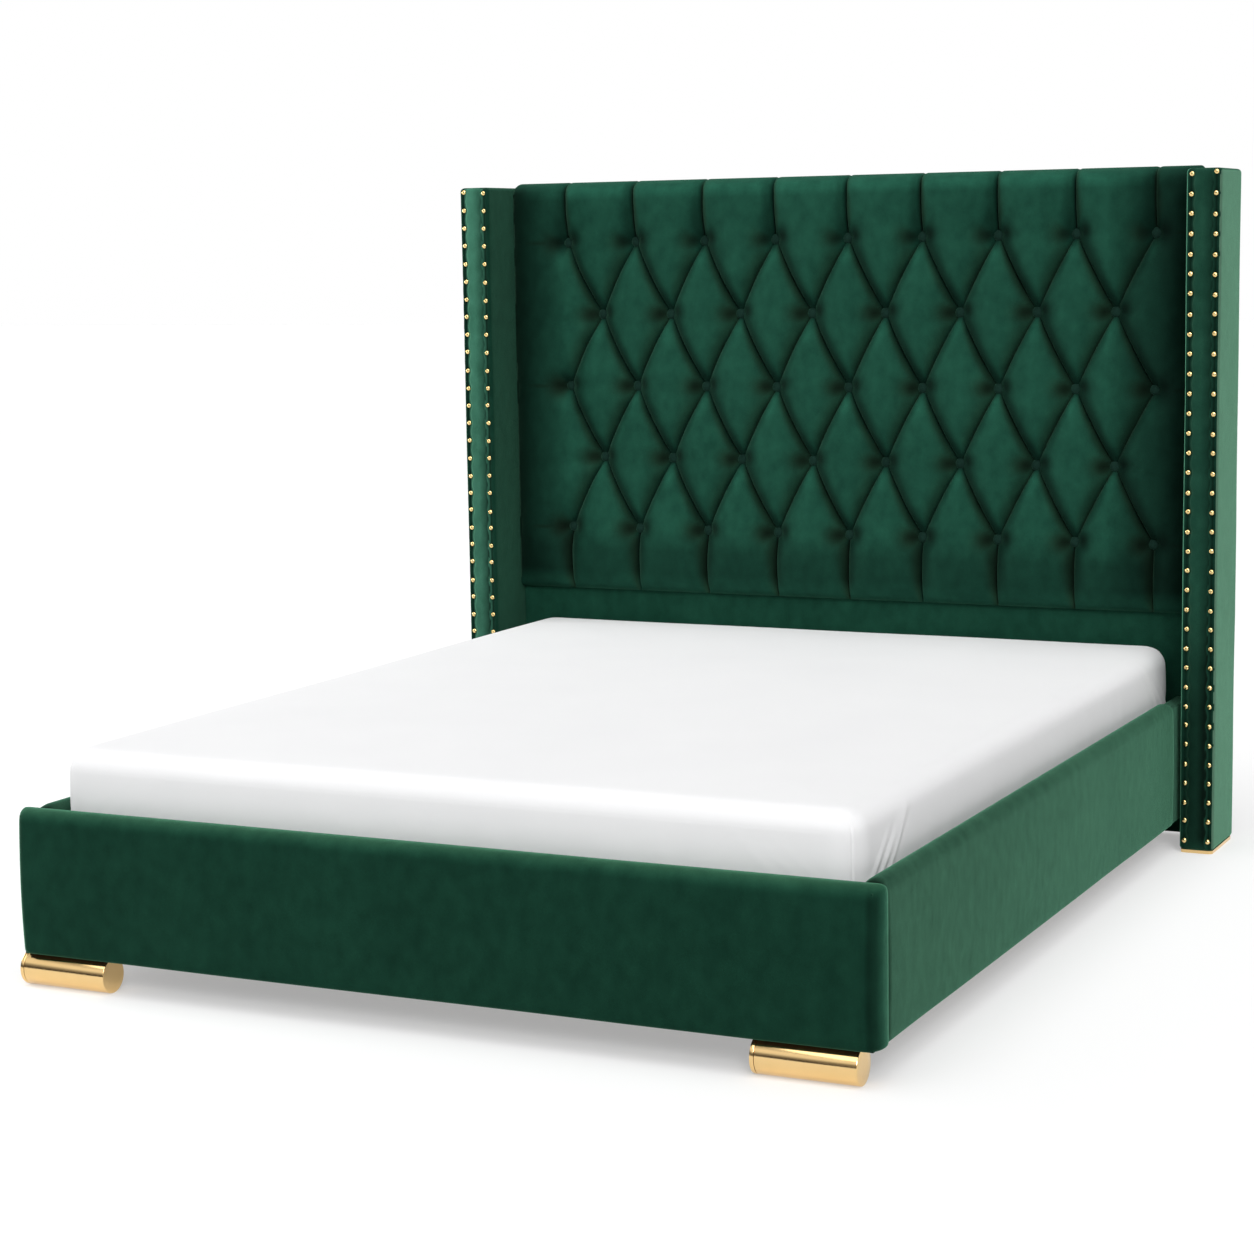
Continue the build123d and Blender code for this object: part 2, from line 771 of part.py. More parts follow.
for name, side in sides.items():
    steel_face = side * (rail_core_inner - steel_thickness)
    rail_seats = [(steel_face, y, z) for y in bracket_rail_y.values() for z in bracket_bolt_levels]
    ledge_seats = [(side * ledge_inner, y, ledge_bottom + ledge_height / 2) for y in ledge_screw_y]

    with BuildPart() as side_rail_core:
        block(
            (side * rail_core_inner, side * rail_core_outer),
            (rail_start, rail_stop),
            (underside, core_top),
        )
        for seat in rail_seats:
            bolt_hole(seat, (side, 0, 0), steel_thickness + screw_grip)
        for seat in ledge_seats:
            bolt_hole(seat, (side, 0, 0), ledge_width + screw_grip, screw_radius)
    keep(side_rail_core, f"side_rail_core_{name}")

    with BuildPart() as side_rail_cover:
        crest = (rail_inner + rail_outer) / 2
        crest_radius = (rail_outer - rail_inner) / 2
        face = rail_outer - rail_crown
        shoulder = rail_top - crest_radius
        with BuildSketch(Plane.XZ.offset(-cover_stop)):
            with BuildLine():
                Line((rail_core_outer, underside), (face - rail_bottom_radius, underside))
                rounded_corner(
                    (face, underside),
                    (rail_core_outer, underside),
                    (face, shoulder),
                    rail_bottom_radius,
                )
                ThreePointArc(
                    (face, underside + rail_bottom_radius),
                    (rail_outer, (underside + shoulder) / 2),
                    (face, shoulder),
                )
                rounded_corner((face, rail_top), (face, shoulder), (crest, rail_top), face - crest)
                Line((face, rail_top - face + crest), (face, shoulder))
                rounded_corner(
                    (rail_inner, rail_top),
                    (crest, rail_top),
                    (rail_inner, underside),
                    crest_radius,
                )
                Line((rail_inner, shoulder), (rail_inner, slat_bottom + slat_camber))
                Line((rail_inner, slat_bottom + slat_camber), (rail_core_inner, slat_bottom + slat_camber))
                Line((rail_core_inner, slat_bottom + slat_camber), (rail_core_inner, core_top))
                Line((rail_core_inner, core_top), (rail_core_outer, core_top))
                Line((rail_core_outer, core_top), (rail_core_outer, underside))
            make_face()
            if side < 0:
                mirror(about=Plane.YZ, mode=Mode.REPLACE)
        extrude(amount=cover_stop - rail_start)
        with BuildSketch(Plane.XY):
            with Locations((side * crest, (rail_start + cover_stop) / 2)):
                RectangleRounded(2 * crest_radius, cover_stop - rail_start, rail_end_radius)
        extrude(amount=rail_top, mode=Mode.INTERSECT)
    keep(side_rail_cover, f"side_rail_cover_{name}")

    with BuildPart() as slat_ledge:
        block(
            (side * ledge_inner, side * rail_core_inner),
            (ledge_start, ledge_stop),
            (ledge_bottom, ledge_top),
        )
        for seat in ledge_seats:
            bolt_hole(seat, (side, 0, 0), ledge_width, screw_radius)
    keep(slat_ledge, f"slat_ledge_{name}")

    for end, wall, into in (("head", band_front, 1), ("foot", footboard_inner, -1)):
        with BuildPart() as corner_bracket:
            span_z = (bracket_bottom, bracket_bottom + bracket_height)
            block(
                (steel_face, side * rail_core_inner),
                (wall - into * bracket_leg_rail, wall),
                span_z,
            )
            block(
                (side * (rail_core_inner - bracket_leg_board), side * rail_core_inner),
                (wall - into * steel_thickness, wall),
                span_z,
            )
            for z in bracket_bolt_levels:
                bolt_hole((steel_face, bracket_rail_y[end], z), (side, 0, 0), steel_thickness)
                seat = (side * bracket_board_x, wall - into * steel_thickness, z)
                bolt_hole(seat, (0, into, 0), steel_thickness)
        keep(corner_bracket, f"corner_bracket_{end}_{name}")

with BuildPart() as bracket_bolts:
    for side in sides.values():
        for y in bracket_rail_y.values():
            for z in bracket_bolt_levels:
                seat = (side * (rail_core_inner - steel_thickness), y, z)
                bolt(seat, (side, 0, 0), steel_thickness + screw_grip)
    for x, z in bracket_board_places:
        bolt((x, band_front - steel_thickness, z), (0, 1, 0), head_bolt_length)
        bolt((x, footboard_inner + steel_thickness, z), (0, -1, 0), steel_thickness + foot_bolt_grip)
keep(bracket_bolts, "bracket_bolts")

with BuildPart() as ledge_screws:
    for side in sides.values():
        for y in ledge_screw_y:
            seat = (side * ledge_inner, y, ledge_bottom + ledge_height / 2)
            screw(seat, (side, 0, 0), ledge_width + screw_grip)
keep(ledge_screws, "ledge_screws")

# Centre beam in two steel hangers, on three legs with levelling feet

beam_start = footboard_inner + steel_thickness
beam_stop = band_front - steel_thickness
leg_places = spread(-leg_pitch * (leg_count - 1) / 2, leg_pitch * (leg_count - 1) / 2, leg_count)

with BuildPart() as centre_beam:
    block((-beam_width / 2, beam_width / 2), (beam_start, beam_stop), (beam_bottom, ledge_top))
    for y in leg_places:
        bolt_hole((0, y, beam_bottom), (0, 0, 1), leg_stud_length)
keep(centre_beam, "centre_beam")

for end, wall, into in (("head", band_front, 1), ("foot", footboard_inner, -1)):
    with BuildPart() as beam_hanger:
        back = (wall - into * steel_thickness, wall)
        reach = (wall - into * hanger_depth, wall)
        low = beam_bottom - steel_thickness
        block((-hanger_half - hanger_flange, hanger_half + hanger_flange), back, (low, ledge_top))
        block((-hanger_half, hanger_half), reach, (low, beam_bottom))
        for way in sides.values():
            block((way * beam_width / 2, way * hanger_half), reach, (low, ledge_top))
        for x, z in hanger_places:
            seat = (x, wall - into * steel_thickness, z)
            bolt_hole(seat, (0, into, 0), steel_thickness, screw_radius)
    keep(beam_hanger, f"beam_hanger_{end}")

with BuildPart() as hanger_screws:
    for x, z in hanger_places:
        screw((x, band_front - steel_thickness, z), (0, 1, 0), head_bolt_length)
        screw((x, footboard_inner + steel_thickness, z), (0, -1, 0), steel_thickness + foot_bolt_grip)
keep(hanger_screws, "hanger_screws")

leg_bottom = leveller_height + leveller_clearance
for number, y in enumerate(leg_places, start=1):
    with BuildPart() as centre_leg:
        reach = leg_width / 2
        block((-reach, reach), (y - reach, y + reach), (leg_bottom, beam_bottom))
        block(
            (-beam_width / 2, beam_width / 2),
            (y - leg_plate / 2, y + leg_plate / 2),
            (beam_bottom - leg_plate_thickness, beam_bottom),
        )
        prism((0, y, beam_bottom), (0, 0, 1), bolt_radius, leg_stud_length)
        stem_hole = leveller_stem_radius + leveller_clearance
        stem_room = leveller_stem_length + leveller_clearance
        prism((0, y, leg_bottom), (0, 0, 1), stem_hole, stem_room, mode=Mode.SUBTRACT)
    keep(centre_leg, f"centre_leg_{number}")

    with BuildPart() as levelling_foot:
        prism((0, y, 0), (0, 0, 1), leveller_radius, leveller_height, leveller_sides)
        prism((0, y, leveller_height), (0, 0, 1), leveller_stem_radius, leveller_stem_length)
    keep(levelling_foot, f"levelling_foot_{number}")

# Sprung slats in two rows, each end held in a plastic holder

slat_places = spread(ledge_start + slat_end_margin, ledge_stop - slat_end_margin, slat_count)
holder_top = slat_bottom + slat_thickness + holder_clearance + holder_roof
holder_outer = rail_inner - rail_joint_gap


def holders(wall_x, way):
    """A row of slat holders, each with its closed end at wall_x and its mouth opening one way."""
    mouth = wall_x + way * holder_length
    for y in slat_places:
        reach = slat_width / 2 + holder_cheek
        block((wall_x, mouth), (y - reach, y + reach), (ledge_top, holder_top))
    for y in slat_places:
        reach = slat_width / 2 + holder_clearance
        pocket = (slat_bottom, slat_bottom + slat_thickness + holder_clearance)
        block((wall_x + way * holder_cheek, mouth), (y - reach, y + reach), pocket, mode=Mode.SUBTRACT)


# Side view of a slat: level ends in its holders and a raised middle
slat_start = holder_cheek + holder_clearance
slat_stop = holder_outer - holder_cheek - holder_clearance
slat_crown_reach = (slat_stop - slat_start) * slat_crown_share / 2
slat_middle = (slat_start + slat_stop) / 2
slat_underside = [
    (slat_start, slat_bottom),
    (slat_start + slat_straight_end, slat_bottom),
    (slat_middle - slat_crown_reach, slat_bottom + slat_camber),
    (slat_middle + slat_crown_reach, slat_bottom + slat_camber),
    (slat_stop - slat_straight_end, slat_bottom),
    (slat_stop, slat_bottom),
]
slat_section = slat_underside + [(x, z + slat_thickness) for x, z in slat_underside[::-1]]

for name, side in sides.items():
    with BuildPart() as slat_holders:
        holders(side * holder_outer, -side)
    keep(slat_holders, f"slat_holders_{name}")

    with BuildPart() as slats:
        for y in slat_places:
            with BuildSketch(Plane.XZ.offset(-y - slat_width / 2)):
                Polygon(*slat_section, align=None)
                if side < 0:
                    mirror(about=Plane.YZ, mode=Mode.REPLACE)
            extrude(amount=slat_width)
    keep(slats, f"slats_{name}")

with BuildPart() as slat_holders_centre:
    holders(0, 1)
    holders(0, -1)
keep(slat_holders_centre, "slat_holders_centre")
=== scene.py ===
import bmesh
import bpy
import math
import numpy as np
from mathutils import Matrix, Vector


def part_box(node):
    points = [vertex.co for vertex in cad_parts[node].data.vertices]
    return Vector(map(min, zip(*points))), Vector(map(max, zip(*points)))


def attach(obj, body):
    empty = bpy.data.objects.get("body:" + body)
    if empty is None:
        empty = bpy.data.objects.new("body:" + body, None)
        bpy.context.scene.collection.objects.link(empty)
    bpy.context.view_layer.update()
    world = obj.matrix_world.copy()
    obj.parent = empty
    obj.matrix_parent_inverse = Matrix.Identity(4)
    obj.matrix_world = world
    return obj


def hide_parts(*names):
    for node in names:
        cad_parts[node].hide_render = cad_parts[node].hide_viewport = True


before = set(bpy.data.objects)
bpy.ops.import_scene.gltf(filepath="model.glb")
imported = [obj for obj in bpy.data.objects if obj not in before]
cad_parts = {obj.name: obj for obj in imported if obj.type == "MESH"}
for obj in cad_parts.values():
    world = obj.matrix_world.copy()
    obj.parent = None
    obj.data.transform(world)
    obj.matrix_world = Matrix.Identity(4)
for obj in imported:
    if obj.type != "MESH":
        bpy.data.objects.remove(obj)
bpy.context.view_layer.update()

# Headboard frame: planed pine posts and battens, screwed behind a plywood board. The wood stays bare,
# because the upholstery covers its front and a lining cloth its back.


def set_inputs(tree, node, inputs):
    """Set the inputs of a node, or link those whose value comes from another node."""
    for socket, value in inputs.items():
        if isinstance(value, bpy.types.NodeSocket):
            tree.links.new(value, node.inputs[socket])
        else:
            node.inputs[socket].default_value = value


def add_node(tree, kind, inputs=None, **settings):
    """One node with its settings and its inputs."""
    node = tree.nodes.new(kind)
    for setting, value in settings.items():
        setattr(node, setting, value)
    set_inputs(tree, node, inputs or {})
    return node


def new_tree(name, kind, inputs, outputs):
    """An empty node group with named sockets: the values that come in, and the node that puts them out."""
    tree = bpy.data.node_groups.new(name, kind + "NodeTree")
    for way, sockets in (("INPUT", inputs), ("OUTPUT", outputs)):
        for socket, value_kind in sockets.items():
            tree.interface.new_socket(socket, in_out=way, socket_type="NodeSocket" + value_kind)
    return tree, tree.nodes.new("NodeGroupInput").outputs, tree.nodes.new("NodeGroupOutput")


def new_material(name):
    """A material and its node tree."""
    material = bpy.data.materials.new(name)
    material.use_nodes = True
    return material, material.node_tree


def finish(tree, colour, roughness, normal=None, metallic=0.0, **more):
    """Set or link the sockets of a material's main shader, named with _ for each space."""
    inputs = {"Base Color": colour, "Roughness": roughness, "Metallic": metallic}
    if normal is not None:
        inputs["Normal"] = normal
    inputs.update({socket.replace("_", " "): value for socket, value in more.items()})
    set_inputs(tree, tree.nodes["Principled BSDF"], inputs)


def object_place(tree):
    """Where a point lies on the bed."""
    return add_node(tree, "ShaderNodeTexCoord").outputs["Object"]


def laid(tree, place, scale, turn=(0, 0, 0)):
    """The place turned and stretched, so that a pattern runs along one direction."""
    return add_node(tree, "ShaderNodeMapping", {"Vector": place, "Rotation": turn, "Scale": scale}).outputs[0]


def noise(tree, place, scale, detail, output="Fac"):
    """Cloudy variation of one size."""
    inputs = {"Vector": place, "Scale": scale, "Detail": detail}
    return add_node(tree, "ShaderNodeTexNoise", inputs).outputs[output]


def combine(tree, operation, *values):
    """One sum on two or three values."""
    return add_node(tree, "ShaderNodeMath", dict(enumerate(values)), operation=operation).outputs[0]


def stretch(tree, value, low, high, new_low=0.0, new_high=1.0):
    """A value taken from one range to another and held inside it."""
    ranges = {"From Min": low, "From Max": high, "To Min": new_low, "To Max": new_high}
    return add_node(tree, "ShaderNodeMapRange", {"Value": value, **ranges}).outputs[0]


def blend(tree, factor, first, second, mode="MIX"):
    """A colour mixed from two."""
    inputs = {0: factor, 6: first, 7: second}
    return add_node(tree, "ShaderNodeMix", inputs, data_type="RGBA", blend_type=mode).outputs[2]


def relief(tree, strength, distance, height, **below):
    """Normals bent by a height, over a coarser relief where there is one."""
    inputs = {"Strength": strength, "Distance": distance, "Height": height, **below}
    return add_node(tree, "ShaderNodeBump", inputs).outputs[0]


def dress(material, *names):
    """Give CAD nodes a material in place of the plain one they came with."""
    for name in names:
        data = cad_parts[name].data
        data.materials.clear()
        data.materials.append(material)


grain_group, grain_in, grain_out = new_tree(
    "sawn_grain",
    "Shader",
    {"Vector": "Vector", "Pale": "Color", "Dark": "Color"},
    {"Color": "Color", "Height": "Float"},
)
bent = add_node(
    grain_group,
    "ShaderNodeVectorMath",
    {0: noise(grain_group, grain_in["Vector"], 1.6, 3.0, "Color"), 1: (0.5, 0.5, 0.0), 2: grain_in["Vector"]},
    operation="MULTIPLY_ADD",
).outputs[0]
rings = add_node(
    grain_group,
    "ShaderNodeTexWave",
    {"Vector": bent, "Scale": 2.2, "Distortion": 2.5, "Detail": 3.0, "Detail Scale": 1.5},
    wave_type="RINGS",
    rings_direction="Z",
).outputs["Fac"]
grain_height = combine(grain_group, "MULTIPLY_ADD", rings, 0.6, noise(grain_group, bent, 26.0, 4.0))
grain_tone = stretch(grain_group, grain_height, 0.3, 1.15)
set_inputs(
    grain_group,
    grain_out,
    {"Color": blend(grain_group, grain_tone, grain_in["Pale"], grain_in["Dark"]), "Height": grain_height},
)


def wood(name, turn, pale, dark, roughness, along=0.7, across=9.0):
    """Wood whose grain runs along one direction of the bed."""
    material, tree = new_material(name)
    lie = laid(tree, object_place(tree), (across, across, along), turn)
    inputs = {"Vector": lie, "Pale": pale, "Dark": dark}
    grain = add_node(tree, "ShaderNodeGroup", inputs, node_tree=grain_group).outputs
    finish(tree, grain["Color"], roughness, relief(tree, 0.25, 0.0006, grain["Height"]))
    return material


quarter = math.pi / 2
pine = (0.52, 0.36, 0.19, 1), (0.33, 0.19, 0.085, 1), 0.62
pine_upright = wood("pine_upright", (0, 0, 0), *pine)
pine_across = wood("pine_across", (0, quarter, 0), *pine)
pine_lengthwise = wood("pine_lengthwise", (quarter, 0, 0), *pine)
plywood = wood("plywood", (0, quarter, 0), (0.5, 0.36, 0.21, 1), (0.36, 0.235, 0.12, 1), 0.68, 0.4, 4.0)
dress(pine_upright, "headboard_post_left", "headboard_post_right", "wing_core_left", "wing_core_right")
dress(pine_across, "headboard_top_rail", "headboard_mid_rail", "headboard_bottom_rail", "footboard_core")
dress(pine_lengthwise, "side_rail_core_left", "side_rail_core_right", "centre_beam")
dress(pine_lengthwise, "slat_ledge_left", "slat_ledge_right")
dress(plywood, "headboard_board")

# Lower band: a plain strip of velvet over thin wadding, stapled to the board under the tufting. Only its
# upper edge shows, above the mattress.

# Velvet nap: random brush marks in the pile, with painted shade, painted highlights and a painted brown tint
nap_group, nap_in, nap_out = new_tree(
    "velvet_nap", "Shader", {"Deep": "Color", "Pale": "Color"}, {"Color": "Color", "Normal": "Vector"}
)
nap_place = object_place(nap_group)
strokes = noise(nap_group, laid(nap_group, nap_place, (1.0, 1.0, 0.75)), 34.0, 4.0)
pile = noise(nap_group, nap_place, 1100.0, 1.0)
lean = combine(nap_group, "MULTIPLY_ADD", noise(nap_group, nap_place, 4.0, 3.0), 0.65, strokes)
leaned = blend(nap_group, stretch(nap_group, lean, 0.5, 1.15), nap_in["Deep"], nap_in["Pale"])
grained = blend(nap_group, 1.0, leaned, stretch(nap_group, pile, 0.25, 0.75, 0.72, 1.2), "MULTIPLY")
brown_tint_share = add_node(nap_group, "ShaderNodeAttribute", attribute_name="painted_brown_tint").outputs["Fac"]
browner = blend(nap_group, 1.0, grained, (1.9, 0.84, 0.72, 1), "MULTIPLY")
toned = blend(nap_group, brown_tint_share, grained, browner)
painted_amount = add_node(nap_group, "ShaderNodeAttribute", attribute_name="painted_shade_and_light").outputs["Fac"]
painted_tone = stretch(nap_group, painted_amount, -1.0, 1.0, 1.88, 0.12)
set_inputs(
    nap_group,
    nap_out,
    {
        "Color": blend(nap_group, 1.0, toned, painted_tone, "MULTIPLY"),
        "Normal": relief(nap_group, 0.5, 0.0006, pile, Normal=relief(nap_group, 0.35, 0.002, strokes)),
    },
)


def velvet_cloth(name, deep, pale, sheen=0.45):
    """Green velvet with random brush marks in its pile, darkened or lightened by painted shade and highlights
    on its points.
    """
    material, tree = new_material(name)
    nap = add_node(tree, "ShaderNodeGroup", {"Deep": deep, "Pale": pale}, node_tree=nap_group).outputs
    finish(
        tree,
        nap["Color"],
        0.8,
        nap["Normal"],
        Specular_IOR_Level=0.04,
        Sheen_Weight=sheen,
        Sheen_Roughness=0.36,
        Sheen_Tint=(0.36, 1.0, 0.64, 1),
    )
    return material


def place_mesh(name, points, faces, material, smooth_angle=40.0):
    """A mesh object at the origin, shaded smooth except at sharp edges."""
    mesh = bpy.data.meshes.new(name)
    mesh.from_pydata([tuple(point) for point in points], [], faces)
    mesh.validate()
    mesh.materials.append(material)
    mesh.shade_smooth()
    mesh.set_sharp_from_angle(angle=math.radians(smooth_angle))
    piece = bpy.data.objects.new(name, mesh)
    bpy.context.scene.collection.objects.link(piece)
    return piece


def outwards(piece):
    """Turn the faces so that they point away from the inside."""
    work = bmesh.new()
    work.from_mesh(piece.data)
    bmesh.ops.recalc_face_normals(work, faces=work.faces)
    work.to_mesh(piece.data)
    work.free()


def loop_faces(count, length):
    """The numbers of the points in closed loops, and the four-cornered faces between the loops."""
    index = np.arange(count * length).reshape(count, length)
    ahead = np.roll(index, -1, axis=1)
    return index, np.stack([index[:-1], ahead[:-1], ahead[1:], index[1:]], axis=-1).reshape(-1, 4).tolist()


def skin(name, loops, material, closed_start=True, smooth_angle=40.0):
    """One surface through closed loops of points, each loop as long as the last."""
    loops = np.asarray(loops, float)
    index, faces = loop_faces(*loops.shape[:2])
    if closed_start:
        faces.append(index[0][::-1].tolist())
    faces.append(index[-1].tolist())
    piece = place_mesh(name, loops.reshape(-1, 3), faces, material, smooth_angle)
    outwards(piece)
    return piece


def ripple(points, seed, size, height):
    """Soft hollows and swells of cloth over wadding, as a height for each point."""
    chance = np.random.default_rng(seed)
    total = np.zeros(points.shape[:-1])
    for _ in range(9):
        direction = chance.normal(size=3)
        direction = direction / np.linalg.norm(direction)
        wavelength = size * chance.uniform(0.6, 1.7)
        total += np.sin(points @ direction * (2 * math.pi / wavelength) + chance.uniform(0, 2 * math.pi))
    return total * height / 3


def quarter_round(radius, count):
    """Steps round a quarter turn, as distances from its two edges: from (radius, 0) to (0, radius)."""
    turn = np.linspace(0, quarter, count)
    return radius * (1 - np.c_[np.sin(turn), np.cos(turn)])


def stand_for(piece, body, node):
    """Let a piece ride on a body and stand for its CAD node, which is hidden."""
    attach(piece, body)
    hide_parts(node)


def soft(piece, body, node):
    """A padded piece that stands for its CAD node."""
    stand_for(piece, body, node)


band_low, band_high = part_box("headboard_lower_band")
band_round, band_swell, band_skin = 0.0028, 0.0007, 0.0004
band_stands_out, band_lies_in = 0.0003, 0.002
band_columns = np.linspace(band_low.x, band_high.x, 120)
band_levels = np.linspace(band_low.z + band_round, band_high.z - band_round, 50)
band_turn = quarter_round(band_round, 5)
band_profile = np.concatenate(
    [
        [(band_high.y, band_high.z), (band_high.y, band_low.z)],
        (band_low.y, band_low.z) + band_turn[:-1],
        np.c_[np.full(len(band_levels), band_low.y), band_levels],
        (band_low.y, band_high.z) + band_turn[1:, ::-1] * (1, -1),
    ]
)
band_loops = np.zeros((len(band_columns), len(band_profile), 3))
band_loops[:, :, 0] = band_columns[:, None]
band_loops[:, :, 1:] = band_profile[None]
band_front = np.where(band_profile[:, 0] < band_low.y + band_skin)[0]
band_hollows = ripple(band_loops[:, band_front], 3, 0.22, band_swell)
band_loops[:, band_front, 1] += np.clip(band_hollows, -band_stands_out, band_lies_in)
# A copy of the velvet painted lighter for the band
band_velvet = velvet_cloth("green_velvet_band", (0.0053, 0.0385, 0.0232, 1), (0.0113, 0.0665, 0.0405, 1))
lower_band = skin("lower_band", band_loops, band_velvet)
soft(lower_band, "bed_frame", "headboard_lower_band")

# Tufted pad: velvet drawn down to the board at every button and folded into a pleat between buttons, so
# that the foam swells into diamonds. Upright pleats run out over the top edge and down to the lower seam.

tuft_pitch_x, tuft_pitch_z = 0.184, 0.175
tuft_columns, tuft_rows = 9, 5
tuft_top_row, tuft_shift = 1.375, 0.024
foam_base, foam_reach, core_gap = 0.014, 0.020, 0.0003
pad_low, pad_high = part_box("tufted_pad")
board_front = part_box("headboard_board")[0].y
board_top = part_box("headboard_board")[1].z
pad_face = board_front - foam_base
pad_crown = pad_face - pad_low.y
pleat_steps = 24
step_x, step_z = tuft_pitch_x / 2 / pleat_steps, tuft_pitch_z / pleat_steps
roll_height, lip_back = 0.030, 0.018
roll_level = pad_high.z - roll_height
seat_radius, side_taper = 0.0105, 0.13
pleat_rise, top_pleat_rise, low_pleat_rise = 0.017, 0.017, 0.014
side_height, seam_height = 0.012, 0.003
fold_depth, side_fold_depth, crease_length = 0.006, 0.0025, 0.11
crease_shade, crease_width, crease_start, crease_full, crease_fade = 0.42, 0.003, 0.02, 0.03, 0.07
pleat_lap = 0.011
furthest_swell = 0.006

# Shade beside a pleat that leans right, leans left or stands upright: on its right the strength and the
# width at its two ends, on its left one strength and the width at both ends, then its thread
pleat_shades = {
    1: ((0.8, 0.8), (0.024, 0.012), 0.74, (0.005, 0.015), 0.7, 0.0035),
    -1: ((0.1, 0.6), (0.006, 0.012), 0.44, (0.026, 0.012), 0.7, 0.0035),
    0: ((0.7, 0.3), (0.020, 0.010), 0.74, (0.023, 0.009), 1.0, 0.0048),
}


def fade(distance, width):
    """1 in the middle of a mark, falling away softly over its width."""
    return np.exp(-((distance / width) ** 2))


def ramp(value, start, end):
    """0 up to the start, 1 from the end on, and even between them."""
    return np.clip((value - start) / (end - start), 0, 1)


def button_mark(button, offset, size):
    """A soft oval mark on the pad, placed from a button."""
    away_x, away_z = grid_x - button[0] - offset[0], grid_z - button[1] - offset[1]
    return fade(away_x, size[0]) * fade(away_z, size[1])


def grid_lines(low, high, origin, step):
    """Lines a step apart that run through the origin, and the two edges."""
    first = math.ceil((low + 0.4 * step - origin) / step)
    last = math.floor((high - 0.4 * step - origin) / step)
    return np.concatenate([[low], origin + step * np.arange(first, last + 1), [high]])


def paint_shade(piece, amounts, layer_name="painted_shade_and_light"):
    """Store painted shade at each point, or its painted brown tint: below 0 the shade is a painted highlight.
    """
    layer = piece.data.attributes.new(layer_name, "FLOAT", "POINT")
    layer.data.foreach_set("value", np.asarray(amounts, np.float32).ravel())


def swell_out(piece, held_points, furthest, pressure=4.0, steps=20):
    """Let cloth swell under the push of its wadding, held where it is sewn, stapled or buttoned."""
    start, end = np.empty((2, len(piece.data.vertices) * 3))
    piece.data.vertices.foreach_get("co", start)
    stitches = piece.vertex_groups.new(name="stitches")
    stitches.add(np.flatnonzero(held_points).tolist(), 1.0, "REPLACE")
    modifier = piece.modifiers.new("swelling", "CLOTH")
    modifier.settings.vertex_group_mass = stitches.name
    modifier.settings.use_pressure = True
    modifier.settings.uniform_pressure_force = pressure
    modifier.settings.effector_weights.gravity = 0.0
    modifier.settings.quality = 3
    modifier.collision_settings.use_collision = False
    modifier.point_cache.frame_start, modifier.point_cache.frame_end = 1, steps
    for step in range(1, steps + 1):
        bpy.context.scene.frame_set(step)
    swollen = piece.evaluated_get(bpy.context.evaluated_depsgraph_get())
    swollen.data.vertices.foreach_get("co", end)
    piece.modifiers.remove(modifier)
    piece.vertex_groups.clear()
    bpy.context.scene.frame_set(1)
    move = (end - start).reshape(-1, 3)
    far = np.linalg.norm(move, axis=1)
    move *= np.minimum(1, furthest / np.maximum(far, 1e-9))[:, None]
    piece.data.vertices.foreach_set("co", start + move.ravel())
    piece.data.update()


def pin_pleat(start, end, rise):
    """Hold the cloth down along one pleat, with a height for each place along it."""
    run, drop = end[0] - start[0], end[1] - start[1]
    count = int(round(max(abs(run) / step_x, abs(drop) / step_z)))
    for t in np.linspace(0, 1, count + 1):
        column = int(np.argmin(abs(pad_x - (start[0] + run * t))))
        line = int(np.argmin(abs(pad_z - (start[1] + drop * t))))
        held[line, column] = True
        fold[line, column] = fold_depth
        height[line, column] = rise(t)


def shade_pleat(start, end):
    """Paint shade beside one pleat, on each side of it and along its thread."""
    run, drop = end[0] - start[0], end[1] - start[1]
    share = np.clip(((grid_x - start[0]) * run + (grid_z - start[1]) * drop) / (run**2 + drop**2), 0, 1)
    away = np.hypot(grid_x - start[0] - share * run, grid_z - start[1] - share * drop)
    on_right = (grid_z - start[1]) * run - (grid_x - start[0]) * drop > 0
    past_lap = np.clip(away - pleat_lap, 0, None)
    ends = (0, 1)
    right, right_width, left, left_width, sewn, sewn_width = pleat_shades[round(2 * run / tuft_pitch_x)]
    right_band = np.interp(share, ends, right) * fade(past_lap, np.interp(share, ends, right_width))
    left_band = left * fade(away, np.interp(share, ends, left_width))
    thread = sewn * fade(away, sewn_width)
    right_shade[:] = np.maximum(right_shade, np.where(on_right, np.maximum(right_band, thread), 0))
    left_shade[:] = np.maximum(left_shade, np.where(on_right, 0, np.maximum(left_band, thread)))


button_rows = []
for row in range(tuft_rows):
    count = tuft_columns - row % 2
    reach = (count - 1) / 2 * tuft_pitch_x
    level = tuft_top_row - row * tuft_pitch_z
    button_rows.append([(tuft_shift - reach + i * tuft_pitch_x, level) for i in range(count)])
buttons = np.array([place for row in button_rows for place in row])

pad_x = grid_lines(pad_low.x, pad_high.x, tuft_shift, step_x)
pad_z = grid_lines(pad_low.z, roll_level, tuft_top_row, step_z)
grid_x, grid_z = np.meshgrid(pad_x, pad_z)
held = np.zeros(grid_x.shape, bool)
height, fold, right_shade, left_shade = np.zeros((4, *grid_x.shape))

